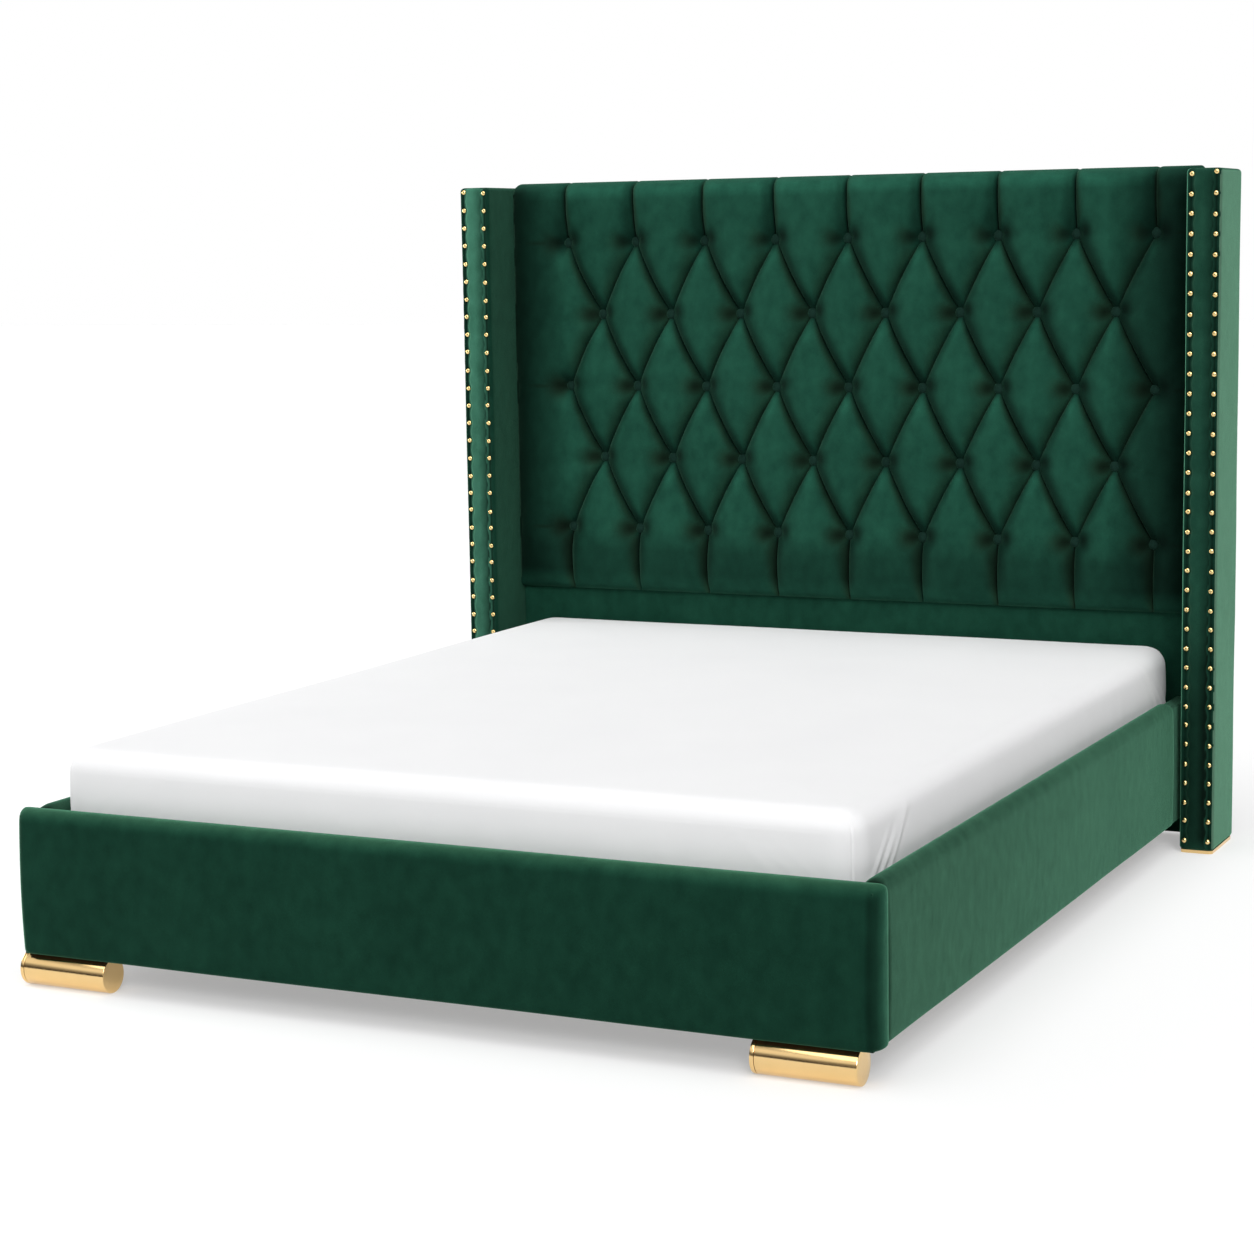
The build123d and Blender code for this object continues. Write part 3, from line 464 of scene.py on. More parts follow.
pleats = []
for upper, lower in zip(button_rows, button_rows[1:]):
    pleats += [
        (start, end, lambda t: pleat_rise * math.sin(math.pi * t) ** 0.65)
        for start in upper
        for end in lower
        if abs(abs(start[0] - end[0]) - tuft_pitch_x / 2) < 0.001
    ]
pleats += [
    (start, (start[0], roll_level), lambda t: top_pleat_rise * (1 - (1 - t) ** 2.6))
    for start in button_rows[0]
]
pleats += [
    (start, (start[0], pad_low.z), lambda t: low_pleat_rise * math.sin(math.pi * t) ** 0.6 + seam_height * t)
    for start in button_rows[-1]
]
for start, end, rise in pleats:
    pin_pleat(start, end, rise)
    shade_pleat(start, end)
held[:, [0, -1]] = True
height[:, [0, -1]] = side_height
held[0] = True
height[0] = seam_height
to_button = np.full(held.shape, 9.0)
for x, z in buttons:
    to_button = np.minimum(to_button, np.hypot(grid_x - x, grid_z - z))
seated = to_button < seat_radius
held |= seated
height[seated] = 0

# The foam pushes the cloth outwards, and the cloth pulls itself level: relaxed until it stays still
foam_fullness, side_flattening, button_pull, pull_size = 1.05, 0.6, 0.8, (0.036, 0.030)
relax_rounds, over_relax = 200, 1.5
weight_x, weight_z, foam = 1 / step_x**2, 1 / step_z**2, 1 / foam_reach**2
loose = ~held
checker = (np.add.outer(np.arange(len(pad_z)), np.arange(len(pad_x))) % 2).astype(bool)
near_side = ramp(np.minimum(grid_x - pad_low.x, pad_high.x - grid_x), side_taper, 0)
foam_push = pad_crown * foam_fullness * (1 - side_flattening * near_side**2)
for button in buttons:
    foam_push *= 1 - button_pull * button_mark(button, (0, 0), pull_size)
for _ in range(relax_rounds):
    for half_grid in (checker, ~checker):
        wide = np.pad(height, 1, mode="edge")
        pull = weight_x * (wide[1:-1, :-2] + wide[1:-1, 2:]) + weight_z * (wide[:-2, 1:-1] + wide[2:, 1:-1])
        relaxed = (pull + foam * foam_push) / (2 * weight_x + 2 * weight_z + foam)
        active = loose & half_grid
        height[active] += over_relax * (relaxed - height)[active]
flat_points = np.stack([grid_x, grid_z * 0, grid_z], axis=-1)
height += ripple(flat_points, 11, 0.09, 0.0012) * ramp(to_button, 0, 0.05) * loose
for row in button_rows[::2]:
    level = row[0][1]
    line = int(np.argmin(abs(pad_z - level)))
    for x, way in ((row[0][0], -1), (row[-1][0], 1)):
        out = (pad_x - x) * way
        side_fold = np.where(out > 0, side_fold_depth * np.clip(1 - out / crease_length, 0.15, 1), 0)
        fold[line] = np.maximum(fold[line], side_fold)
        crease = crease_shade * fade(grid_z - level, crease_width) * ramp(out, crease_start, crease_full)
        left_shade = np.maximum(left_shade, crease * ramp(out, crease_length, crease_fade))
height -= np.where(seated, 0, fold)
height = np.clip(height, 0.0, pad_crown)

# The cloth rolls over the top edge, dips where a pleat crosses it, and is stapled on top of the board
roll_turn = np.linspace(0, quarter, 9)[1:]
pleat_notch, end_notch, notch_beside_end = 0.0025, 0.005, 0.0016
notch = np.where(fold[-1] == fold_depth, pleat_notch, 0.0)
notch = np.maximum(notch, 0.5 * np.maximum(np.roll(notch, 1), np.roll(notch, -1)))
notch[[0, -1]], notch[[1, -2]] = end_notch, notch_beside_end
pad_loops = []
for x, rises, dip in zip(pad_x, height.T, notch):
    roll_depth = rises[-1] + pad_high.y - lip_back - pad_face
    loop = [(pad_face - rise, level) for rise, level in zip(rises, pad_z)]
    for a in roll_turn:
        across = pad_high.y - lip_back - roll_depth * math.cos(a) ** 0.8
        loop.append((across, roll_level + (roll_height - dip) * math.sin(a)))
    for a in roll_turn[1::2]:
        across = pad_high.y - lip_back * (1 - math.sin(a))
        loop.append((across, pad_high.z - dip - lip_back * (1 - math.cos(a))))
    loop.append((pad_high.y, board_top + core_gap))
    loop.append((board_front - core_gap, board_top + core_gap))
    loop.append((board_front - core_gap, pad_low.z))
    pad_loops.append([(x, *place) for place in loop])
pad_loops = np.array(pad_loops)
columns, around = pad_loops.shape[:2]
pad_index, pad_quads = loop_faces(columns, around)
pad_faces = [pad_index[0][::-1].tolist(), pad_index[-1].tolist()]
for n, (a, b, c, d) in enumerate(pad_quads):
    i, j = divmod(n, around)
    if j + 1 < len(pad_z):
        rising = fold[j, i] + fold[j + 1, i + 1] >= fold[j + 1, i] + fold[j, i + 1]
        pad_faces += [(a, b, c), (a, c, d)] if rising else [(a, b, d), (b, c, d)]
    else:
        pad_faces.append((a, b, c, d))
# A copy of the velvet painted lighter and with less sheen; the painted shade darkens it again in the folds
drawn_velvet = velvet_cloth(
    "green_velvet_drawn", (0.0075, 0.048, 0.0305, 1), (0.0140, 0.0815, 0.0512, 1), 0.12
)
tufted_pad = place_mesh("tufted_pad_velvet", pad_loops.reshape(-1, 3), pad_faces, drawn_velvet, 62.0)
outwards(tufted_pad)
stitched = np.ones((columns, around), bool)
stitched[:, : len(pad_z)] = held.T
swell_out(tufted_pad, stitched.ravel(), furthest_swell)

# Painted marks round each button: where their middle lies from it, and their size; then other painted shades
left_mark = (-0.020, 0), (0.026, 0.024)
right_mark = (0.024, 0.006), (0.022, 0.028)
light_mark = (-0.005, -0.040), (0.016, 0.025)
left_mark_shade, light_mark_shade, valley_shade, valley_rim = 0.9, 0.48, 0.25, 0.93
wing_shade, left_wing_reach, right_wing_reach = 0.96, 0.16, 0.20
flap_shade, flap_reach, seam_reach, seam_share = 0.48, 0.05, 0.05, 0.35
roll_light, roll_reach = 0.5, 0.016

# Painted shade beside the pleats, round the buttons and in the valleys, with a painted brown tint on their
# left.
# Painted highlights under each button and along the top edge; painted shade beside the wings and on the flaps
# above the seam
valley = np.clip(1 - height / (valley_rim * pad_crown), 0, 1) ** 1.15
for button in buttons:
    left_shade = np.maximum(left_shade, left_mark_shade * button_mark(button, *left_mark))
    right_shade = np.maximum(right_shade, button_mark(button, *right_mark))
darker = np.maximum(valley_shade * valley, np.maximum(left_shade, right_shade))
for button in buttons[: -len(button_rows[-1])]:
    darker -= light_mark_shade * button_mark(button, *light_mark)
for from_wing, reach in ((grid_x - pad_low.x, left_wing_reach), (pad_high.x - grid_x, right_wing_reach)):
    darker = 1 - (1 - darker) * (1 - wing_shade * ramp(from_wing, reach, 0) ** 0.65)
lowest_row = button_rows[-1][0][1]
darker = 1 - (1 - darker) * (1 - flap_shade * ramp(grid_z, lowest_row, lowest_row - flap_reach))
near_seam = np.clip((grid_z - pad_low.z) / seam_reach, seam_share, 1)
darker = np.clip(darker * near_seam, -0.5, 1)
darker -= roll_light * ramp(grid_z, roll_level - roll_reach, roll_level) * (1 - np.clip(darker, 0, 1))
over_roll = slice(len(pad_z), len(pad_z) + len(roll_turn))
painted_brown_left = np.clip(left_shade - right_shade, 0, 1)
for layer_name, amounts in (("painted_shade_and_light", darker), ("painted_brown_tint", painted_brown_left)):
    painted_layer = np.zeros((columns, around))
    painted_layer[:, : len(pad_z)] = amounts.T
    painted_layer[:, over_roll] = amounts[-1][:, None] * np.linspace(1, 0.1, len(roll_turn))
    paint_shade(tufted_pad, painted_layer, layer_name)
soft(tufted_pad, "bed_frame", "tufted_pad")

# Covered buttons: velvet pressed over a domed metal shell, drawn tight against the pad by a twine. Each
# one tips a little, because the pleats pull on it unevenly.

dome_tree, dome_in, dome_out = new_tree(
    "domes_on_points",
    "Geometry",
    {
        "Geometry": "Geometry",
        "Radius": "Float",
        "Height": "Float",
        "Tilt": "Float",
        "Sides": "Int",
        "Seed": "Int",
        "Finish": "Material",
    },
    {"Geometry": "Geometry"},
)


def dome_step(kind, inputs=None, **settings):
    """What one step of the dome tree puts out."""
    return add_node(dome_tree, kind, inputs, **settings).outputs[0]


def run_tree(name, tree, settings, points):
    """Run a tree on a few points and keep its result as a plain mesh at the origin."""
    seed_mesh = bpy.data.meshes.new(name + "_points")
    seed_mesh.from_pydata([tuple(point) for point in points], [], [])
    piece = bpy.data.objects.new(name, seed_mesh)
    bpy.context.scene.collection.objects.link(piece)
    modifier = piece.modifiers.new(name, "NODES")
    modifier.node_group = tree
    for item in tree.interface.items_tree:
        if item.in_out == "INPUT" and item.name in settings:
            modifier[item.identifier] = settings[item.name]
    bpy.context.view_layer.update()
    evaluated = piece.evaluated_get(bpy.context.evaluated_depsgraph_get())
    mesh = bpy.data.meshes.new_from_object(evaluated)
    piece.modifiers.clear()
    piece.data = mesh
    mesh.name = name
    bpy.data.meshes.remove(seed_mesh)
    return piece


ball = dome_step("GeometryNodeMeshUVSphere", {"Segments": dome_in["Sides"], "Rings": 12, "Radius": 1.0})
ball_place = dome_step("GeometryNodeInputPosition")
ball_level = add_node(dome_tree, "ShaderNodeSeparateXYZ", {0: ball_place}).outputs["Z"]
behind = dome_step("FunctionNodeCompare", {0: ball_level, 1: -0.2}, operation="LESS_THAN")
half_ball = dome_step("GeometryNodeDeleteGeometry", {"Geometry": ball, "Selection": behind})
size = dome_step("ShaderNodeCombineXYZ", {0: dome_in["Radius"], 1: dome_in["Radius"], 2: dome_in["Height"]})
shaped = dome_step("GeometryNodeTransform", {"Geometry": half_ball, "Scale": size})
tips = [
    dome_step("ShaderNodeVectorMath", {0: (1.0, 0.0, 1.0), "Scale": tilt}, operation="SCALE")
    for tilt in (combine(dome_tree, "MULTIPLY", dome_in["Tilt"], -1.0), dome_in["Tilt"])
]
tip = dome_step(
    "FunctionNodeRandomValue", {0: tips[0], 1: tips[1], "Seed": dome_in["Seed"]}, data_type="FLOAT_VECTOR"
)
facing_out = dome_step("ShaderNodeVectorMath", {0: tip, 1: (quarter, 0.0, 0.0)}, operation="ADD")
set_out = dome_step(
    "GeometryNodeInstanceOnPoints",
    {"Points": dome_in["Geometry"], "Instance": shaped, "Rotation": facing_out},
)
real = dome_step("GeometryNodeRealizeInstances", {0: set_out})
smooth = dome_step("GeometryNodeSetShadeSmooth", {0: real})
finished = dome_step("GeometryNodeSetMaterial", {"Geometry": smooth, "Material": dome_in["Finish"]})
set_inputs(dome_tree, dome_out, {0: finished})

# A darker copy of the velvet: painted shade on the buttons
button_velvet = velvet_cloth(
    "green_velvet_button", (0.0066, 0.0225, 0.0165, 1), (0.0105, 0.035, 0.0255, 1), 0.3
)
button_stand = 0.0016
covered_buttons = run_tree(
    "covered_buttons",
    dome_tree,
    {"Radius": 0.0125, "Height": 0.008, "Tilt": 0.16, "Sides": 24, "Seed": 5, "Finish": button_velvet},
    [(x, pad_face - button_stand, z) for x, z in buttons],
)
stand_for(covered_buttons, "bed_frame", "tuft_buttons")

# Back lining: black spun cloth pulled flat over the headboard's back and stapled round its border. The
# undersides of the footboard and the rails are closed with the same cloth.


def cells(tree, place, scale, output):
    """A pattern of small cells."""
    return add_node(tree, "ShaderNodeTexVoronoi", {"Vector": place, "Scale": scale}).outputs[output]


def thicken(piece, thickness):
    """Give a sheet of cloth its thickness, inwards from its face."""
    modifier = piece.modifiers.new("cloth", "SOLIDIFY")
    modifier.thickness = thickness
    modifier.offset = -1.0


lining, lining_tree = new_material("lining_cloth")
lining_place = object_place(lining_tree)
fuzz = noise(lining_tree, lining_place, 60.0, 5.0)
fuzz_tone = blend(lining_tree, fuzz, (0.006, 0.006, 0.0065, 1), (0.022, 0.022, 0.023, 1))
spots = cells(lining_tree, lining_place, 420.0, "Distance")
finish(lining_tree, fuzz_tone, 0.9, relief(lining_tree, 0.5, 0.0006, spots))

back_low, back_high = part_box("headboard_back_cover")
border, lining_inset, lining_thickness = 0.1, 0.0007, 0.0008
lining_lies_in, lining_stands_out = 0.0006, 0.0004
lining_x, lining_z = np.meshgrid(
    np.linspace(back_low.x, back_high.x, 90), np.linspace(back_low.z, back_high.z, 80)
)
lining_points = np.stack([lining_x, np.full(lining_x.shape, back_high.y - lining_inset), lining_z], axis=-1)
slack = ramp(np.minimum(lining_x - back_low.x, back_high.x - lining_x), 0, border)
slack *= ramp(np.minimum(lining_z - back_low.z, back_high.z - lining_z), 0, border)
lining_waves = ripple(lining_points, 21, 0.35, 0.0005) * slack
lining_points[:, :, 1] += np.clip(lining_waves, -lining_lies_in, lining_stands_out)
lining_index = np.arange(lining_x.size).reshape(lining_x.shape)
lining_corners = [lining_index[:-1, :-1], lining_index[1:, :-1], lining_index[1:, 1:], lining_index[:-1, 1:]]
lining_faces = np.stack(lining_corners, axis=-1).reshape(-1, 4).tolist()
back_lining = place_mesh("back_lining", lining_points.reshape(-1, 3), lining_faces, lining)
thicken(back_lining, lining_thickness)
stand_for(back_lining, "bed_frame", "headboard_back_cover")

for node in ("footboard_core", "side_rail_core_left", "side_rail_core_right"):
    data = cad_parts[node].data
    data.materials.append(lining)
    for face in data.polygons:
        if face.normal.z < -0.9:
            face.material_index = 1

# Wings: pine cores in a padded velvet sleeve. Two rows of dome nails pin the velvet down in front, and the
# strip between them swells; each nail draws in a small dimple.

nail_count, nail_radius, nail_height, nail_seat = 35, 0.0058, 0.0034, 0.0024
nail_inset, nail_bottom_margin, nail_top_margin = 0.0125, 0.022, 0.012
nail_stray_x, nail_stray_z = 0.0005, 0.0012
wing_round, wing_top_round, wing_bottom_round = 0.010, 0.009, 0.008
puff_height, puff_reach, puff_scallop = 0.005, 0.020, 0.0024
channel_width, dimple_width, nail_sink = 0.0052, 0.011, 0.0022
bead_inset, bead_width, bead_height = 0.0045, 0.0035, 0.0012
face_depth, wing_end_fade, puff_share, usual_hollow = 0.004, 0.03, 0.96, 0.0006
channel_shade, dimple_shade, flank_shade = 0.62, 0.3, 0.5

# Painted shade low on the strip: the level where it starts, where it is full, and its strength
low_shades = {-1: (1.2, 0.7, 0.27), 1: (0.62, 0.32, 0.6)}


def hollows(points, seed, size, height, deepest):
    """How deep the cloth lies in where it is slack; it never stands out past its wadding."""
    return np.clip(ripple(points, seed, size, height) + usual_hollow, 0, deepest)


def between(count):
    """Even shares along a run, without its two ends."""
    return np.linspace(0, 1, count)[1:-1]


def rounded_outline(corners, arc_shares, run_shares):
    """A closed outline: each corner has a place, the two ways in from it and a radius for each way."""
    turn = arc_shares * quarter
    bends = []
    for place, ways, radii in corners:
        bend = np.array(place) + np.array(ways) * radii * (1 - np.c_[np.sin(turn), np.cos(turn)])
        bends.append(bend[:: -ways[0] * ways[1]])
    outline = []
    for bend, following, shares in zip(bends, bends[1:] + bends[:1], run_shares):
        outline += [bend, bend[-1] + (following[0] - bend[-1]) * shares[:, None]]
    return np.concatenate(outline)


def drawn_in(outline, middle, half, inset):
    """An outline drawn in towards its middle."""
    return middle + (outline - middle) * (1 - inset / half)


def at_level(outline, level):
    """A flat outline lifted to a level."""
    return np.c_[outline, np.full(len(outline), level)]


nail_brass, nail_tree = new_material("aged_brass")
tarnish = noise(nail_tree, object_place(nail_tree), 95.0, 3.0)
tarnish_tone = blend(nail_tree, tarnish, (0.95, 0.74, 0.36, 1), (0.78, 0.54, 0.2, 1))
finish(nail_tree, tarnish_tone, stretch(nail_tree, tarnish, 0.0, 1.0, 0.14, 0.3), metallic=1.0)
# Copies painted lighter: the lit outer sides, and the front strips, the left one lightest
velvet = velvet_cloth("green_velvet", (0.0035, 0.026, 0.0155, 1), (0.0075, 0.045, 0.027, 1))
lit_side_velvet = velvet_cloth("green_velvet_lit_side", (0.080, 0.166, 0.110, 1), (0.104, 0.206, 0.141, 1))
lit_strip_velvet = {
    -1: velvet_cloth("green_velvet_strip_lit_left", (0.028, 0.118, 0.074, 1), (0.056, 0.20, 0.132, 1), 0.8),
    1: velvet_cloth("green_velvet_strip_lit_right", (0.0068, 0.041, 0.0252, 1), (0.0145, 0.070, 0.0433, 1), 0.6),
}
for name, side in (("left", -1), ("right", 1)):
    cover_low, cover_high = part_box("wing_cover_" + name)
    core_low, core_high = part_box("wing_core_" + name)
    inner, outer = sorted((abs(cover_low.x), abs(cover_high.x)))
    core_inner, core_outer = sorted((abs(core_low.x), abs(core_high.x)))
    wing_face, wing_back = cover_low.y + puff_height, cover_high.y
    wing_bottom, wing_top = cover_low.z, cover_high.z
    nail_levels = np.linspace(wing_bottom + nail_bottom_margin, wing_top - nail_top_margin, nail_count)
    nail_pitch = nail_levels[1] - nail_levels[0]
    nail_x = (inner + nail_inset, outer - nail_inset)

    # One loop round the sleeve, seen from above, starting at the inner back corner
    corners = [
        ((inner, wing_back), (1, -1), wing_round),
        ((inner, wing_face), (1, 1), wing_round),
        ((outer, wing_face), (-1, 1), wing_round),
        ((outer, wing_back), (-1, -1), wing_round),
    ]
    loop = rounded_outline(corners, np.linspace(0, 1, 6), [between(count) for count in (22, 46, 22, 8)])
    middle = np.array([(inner + outer) / 2, (wing_face + wing_back) / 2])
    half = np.array([(outer - inner) / 2, (wing_back - wing_face) / 2])
    on_front = loop[:, 1] < wing_face + face_depth
    pocket_low = (core_inner - core_gap, core_low.y - core_gap)
    pocket_high = (core_outer + core_gap, core_high.y + core_gap)
    pocket = np.clip(loop, pocket_low, pocket_high)
    sleeve = [at_level(pocket, core_high.z + core_gap), at_level(pocket, wing_bottom)]
    painted_layer = [np.zeros(len(loop))] * 2

    bottom_turn = quarter_round(wing_bottom_round, 6)
    top_turn = quarter_round(wing_top_round, 7)[1:]
    straight = np.linspace(wing_bottom + wing_bottom_round, wing_top - wing_top_round, 280)[1:]
    levels = np.concatenate([wing_bottom + bottom_turn[:, 1], straight, wing_top - top_turn[:, 0]])
    insets = np.concatenate([bottom_turn[:, 0], np.zeros(len(straight)), top_turn[:, 1]])
    from_middle = loop[:, 0] - middle[0]
    from_nails = np.minimum(abs(loop[:, 0] - nail_x[0]), abs(loop[:, 0] - nail_x[1]))
    from_edge = np.minimum(loop[:, 0] - inner, outer - loop[:, 0])
    channel = fade(from_nails, channel_width)
    bead = fade(from_edge - bead_inset, bead_width)
    right_flank = np.clip(side * from_middle / puff_reach, 0, 1)
    low_start, low_full, low_strength = low_shades[side]
    for level, inset in zip(levels, insets):
        ring = drawn_in(loop, middle, half, inset)
        beside = np.min(np.abs(nail_levels - level))
        full = ramp(min(wing_top - level, level - wing_bottom), 0, wing_end_fade) ** 0.5
        reach = puff_reach - puff_scallop * math.cos(2 * math.pi * beside / nail_pitch)
        puff = np.clip(np.abs(from_middle) / reach, 0, 1)
        dimple = fade(np.hypot(from_nails, beside), dimple_width)
        sink = nail_sink * channel + nail_sink * dimple
        rise = puff_height * puff_share * np.sqrt(1 - puff**2) + bead_height * bead
        ring[:, 1] += np.where(on_front, (sink - rise) * full, 0)
        sleeve.append(at_level(ring, level))
        # Painted shade in the nail channels and dimples, on the strip's right flank and lower down
        low_down = low_strength * ramp(level, low_start, low_full)
        puff_shade = (flank_shade * right_flank + low_down) * (puff < 1)
        shade = channel_shade * channel + dimple_shade * dimple + puff_shade
        painted_layer.append(np.where(on_front, shade, 0.0) * full)
    for share in (0.7, 0.35):
        sleeve.append(at_level(middle + (loop - middle) * (1 - wing_top_round / half) * share, wing_top))
        painted_layer.append(np.zeros(len(loop)))
    sleeve = np.array(sleeve)
    lying_in = hollows(sleeve[2:] * (1, 1, 0.6), 31 + side, 0.3, 0.0007, 0.0015)
    sleeve[2:, :, 0] -= np.where(from_middle > 0, 1, -1) * lying_in * ~on_front
    sleeve[:, :, 0] *= side
    wing_cover = skin("wing_velvet_" + name, sleeve, velvet)
    paint_shade(wing_cover, np.clip(painted_layer, 0, 1))
    for cloth in (lit_side_velvet, lit_strip_velvet[side], lit_strip_velvet[-1]):
        wing_cover.data.materials.append(cloth)
    # Slots: the outer side takes its lit copy, the strip its lit copy, the right wing's inner front edge a
    # painted highlight
    for face in wing_cover.data.polygons:
        if face.normal.x * side > 0.8 and abs(face.center.x) > outer - face_depth:
            face.material_index = 1
        elif face.center.y < wing_face + face_depth and nail_x[0] < abs(face.center.x) < nail_x[1]:
            face.material_index = 2
        elif max(face.normal.x, face.normal.y) < -0.3 and 0 < face.center.x < inner + wing_round:
            face.material_index = 3
    soft(wing_cover, "bed_frame", "wing_cover_" + name)

    chance = np.random.default_rng(41 + side)
    nail_points = [
        (side * x + chance.normal() * nail_stray_x, wing_face + nail_seat, z + chance.normal() * nail_stray_z)
        for x in nail_x
        for z in nail_levels
    ]
    nail_sizes = {"Radius": nail_radius, "Height": nail_height, "Tilt": 0.1, "Sides": 18}
    nails = run_tree(
        "dome_nails_" + name, dome_tree, {**nail_sizes, "Seed": 7 + side, "Finish": nail_brass}, nail_points
    )
    stand_for(nails, "bed_frame", "nailheads_" + name)

# Wing plates and front feet: polished gold-coloured metal. The feet are tubes lying across the bed under
# the footboard, each closed by a turned end cap with a fine joint line.

gold, gold_tree = new_material("polished_gold")
gold_place = object_place(gold_tree)
scratches = noise(gold_tree, laid(gold_tree, gold_place, (2.0, 160.0, 160.0)), 4.0, 5.0)
smears = noise(gold_tree, gold_place, 14.0, 3.0)
smear_tone = blend(gold_tree, smears, (0.90, 0.63, 0.30, 1), (0.80, 0.545, 0.235, 1))
gold_shine = stretch(gold_tree, scratches, 0.3, 0.7, 0.1, 0.2)
finish(gold_tree, smear_tone, gold_shine, relief(gold_tree, 0.06, 0.0003, scratches), metallic=1.0)
dress(gold, "wing_foot_left", "wing_foot_right")

feet_low, feet_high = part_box("front_feet")
foot_radius, foot_sides = 0.0332, 96
foot_axis = ((feet_low.y + feet_high.y) / 2, foot_radius - 0.0004)
foot_length, cap_length, foot_bevel, joint_line = 0.190, 0.008, 0.0016, 0.0005
foot_starts = [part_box("foot_caps")[0].x, feet_high.x - foot_length]


def turned_piece(name, outline, starts):
    """Round pieces turned about an axis across the bed, cut flat above and below."""
    turn = np.linspace(0, 2 * math.pi, foot_sides + 1)[:-1]
    along, radius = np.array(outline).T[:, :, None]
    points = np.empty((len(starts), len(outline), foot_sides, 3))
    points[..., 0] = np.array(starts)[:, None, None] + along
    points[..., 1] = foot_axis[0] + radius * np.cos(turn)
    points[..., 2] = np.clip(foot_axis[1] + radius * np.sin(turn), 0.0, feet_high.z)
    index, rings = loop_faces(len(outline), foot_sides)
    rings += [index[0][::-1].tolist(), index[-1].tolist()]
    firsts = range(0, len(starts) * index.size, index.size)
    faces = [[first + corner for corner in face] for first in firsts for face in rings]
    piece = place_mesh(name, points.reshape(-1, 3), faces, gold, 30.0)
    outwards(piece)
    return piece


rod_start = cap_length + joint_line
rod_outline = [
    (rod_start, foot_radius - 0.0008),
    (rod_start + 0.0006, foot_radius - 0.0002),
    (rod_start + 0.0014, foot_radius),
    (foot_length * 0.5, foot_radius),
]
for back, down in ((1, 0), (0.7, 0.08), (0.3, 0.3), (0.08, 0.7), (0, 1)):
    rod_outline.append((foot_length - foot_bevel * back, foot_radius - foot_bevel * down))
rod_outline.append((foot_length, foot_radius * 0.5))
cap_outline = [
    (0.0, foot_radius * 0.5),
    (0.0, foot_radius - foot_bevel),
    (foot_bevel * 0.3, foot_radius - foot_bevel * 0.3),
    (foot_bevel, foot_radius),
    (cap_length - 0.0008, foot_radius),
    (cap_length - 0.0002, foot_radius - 0.0003),
    (cap_length, foot_radius - 0.0008),
]
foot_rods = turned_piece("foot_rods", rod_outline, foot_starts)
foot_ends = turned_piece("foot_end_caps", cap_outline, foot_starts)
stand_for(foot_rods, "bed_frame", "front_feet")
stand_for(foot_ends, "bed_frame", "foot_caps")

# Footboard: a pine core in wadding and velvet, rounded over the top and round both ends. The velvet is
# drawn down and stapled underneath.

footboard_low, footboard_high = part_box("footboard_cover")
core_low, core_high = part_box("footboard_core")
footboard_crown, top_round, bottom_round = 0.004, 0.027, 0.007
front_round, back_round, end_round = (0.024, 0.040), (0.009, 0.018), 0.011
corner_ways = ((1, -1), (1, 1), (-1, 1), (-1, -1))


def bulge(levels, low, high, most):
    """How far a padded side stands out at its levels: most of all halfway up."""
    return most * (1 - ((levels - low) / (high - low) * 2 - 1) ** 2)


middle = np.array([0.0, (footboard_low.y + footboard_crown + footboard_high.y) / 2])
half = np.array([footboard_high.x, (footboard_high.y - footboard_low.y) / 2 - footboard_crown / 2])
corners = [
    (middle + half * ways, (-ways[0], -ways[1]), front_round if ways[1] < 0 else back_round)
    for ways in corner_ways
]
loop = rounded_outline(corners, np.linspace(0, 1, 13), [between(count) for count in (2, 140, 2, 140)])
in_front = loop[:, 1] < middle[1]
pocket_low = (core_low.x - core_gap, core_low.y - core_gap)
pocket_high = (core_high.x + core_gap, core_high.y + core_gap)
pocket = np.clip(loop, pocket_low, pocket_high)
cover = [at_level(pocket, core_high.z + core_gap), at_level(pocket, footboard_low.z)]
shoulder = footboard_high.z - top_round
for inset, rise in quarter_round(bottom_round, 5)[:-1]:
    cover.append(at_level(drawn_in(loop, middle, half, inset), footboard_low.z + rise))
for level in np.linspace(footboard_low.z + bottom_round, shoulder, 34):
    ring = loop.copy()
    ring[:, 1] -= np.where(in_front, bulge(level, footboard_low.z, shoulder, footboard_crown), 0)
    cover.append(at_level(ring, level))
for a in np.linspace(0, quarter, 14)[1:]:
    level = shoulder + top_round * math.sin(a)
    over_end = max(0.0, (level - footboard_high.z + end_round) / end_round)
    inset = np.array((end_round * (1 - math.sqrt(1 - over_end**2)), top_round * (1 - math.cos(a))))
    cover.append(at_level(drawn_in(loop, middle, half, inset), level))
cover = np.array(cover)
cover[2:, :, 1] += np.where(in_front, 1, -1) * hollows(cover[2:], 51, 0.4, 0.0009, 0.002)
# A copy of the velvet painted lighter; the painted shade below darkens its front and ends
upright_velvet = velvet_cloth("green_velvet_upright", (0.0077, 0.057, 0.034, 1), (0.0165, 0.099, 0.059, 1))
footboard_velvet = skin("footboard_velvet", cover, upright_velvet)

# Painted shade round the ends, by how far they turn from the front; a painted, browner highlight over the top
# edge
turn_angles, turn_shades = (0, 30, 60, 88, 120, 180), (0.61, 0.86, 0.74, 0.12, 0.0, 0.4)
top_cover, top_light, top_highlight_tint = 0.9, 0.28, 0.6
ahead = np.roll(loop, -1, axis=0) - np.roll(loop, 1, axis=0)
turned_by = np.degrees(np.arctan2(np.abs(ahead[:, 1]), np.sign(middle[1] - loop[:, 1]) * np.abs(ahead[:, 0])))
painted_end_shade = np.interp(turned_by, turn_angles, turn_shades)
over_top = ramp(cover[:, :, 2], shoulder, footboard_high.z) ** 2
paint_shade(footboard_velvet, painted_end_shade[None] * (1 - top_cover * over_top) - top_light * over_top)
paint_shade(footboard_velvet, top_highlight_tint * over_top, "painted_brown_tint")
soft(footboard_velvet, "bed_frame", "footboard_cover")

# Side rails: pine cores with velvet and wadding folded over the top. The rounded ends stop just short of
# the footboard and the wing, and a narrow dark gap shows there.

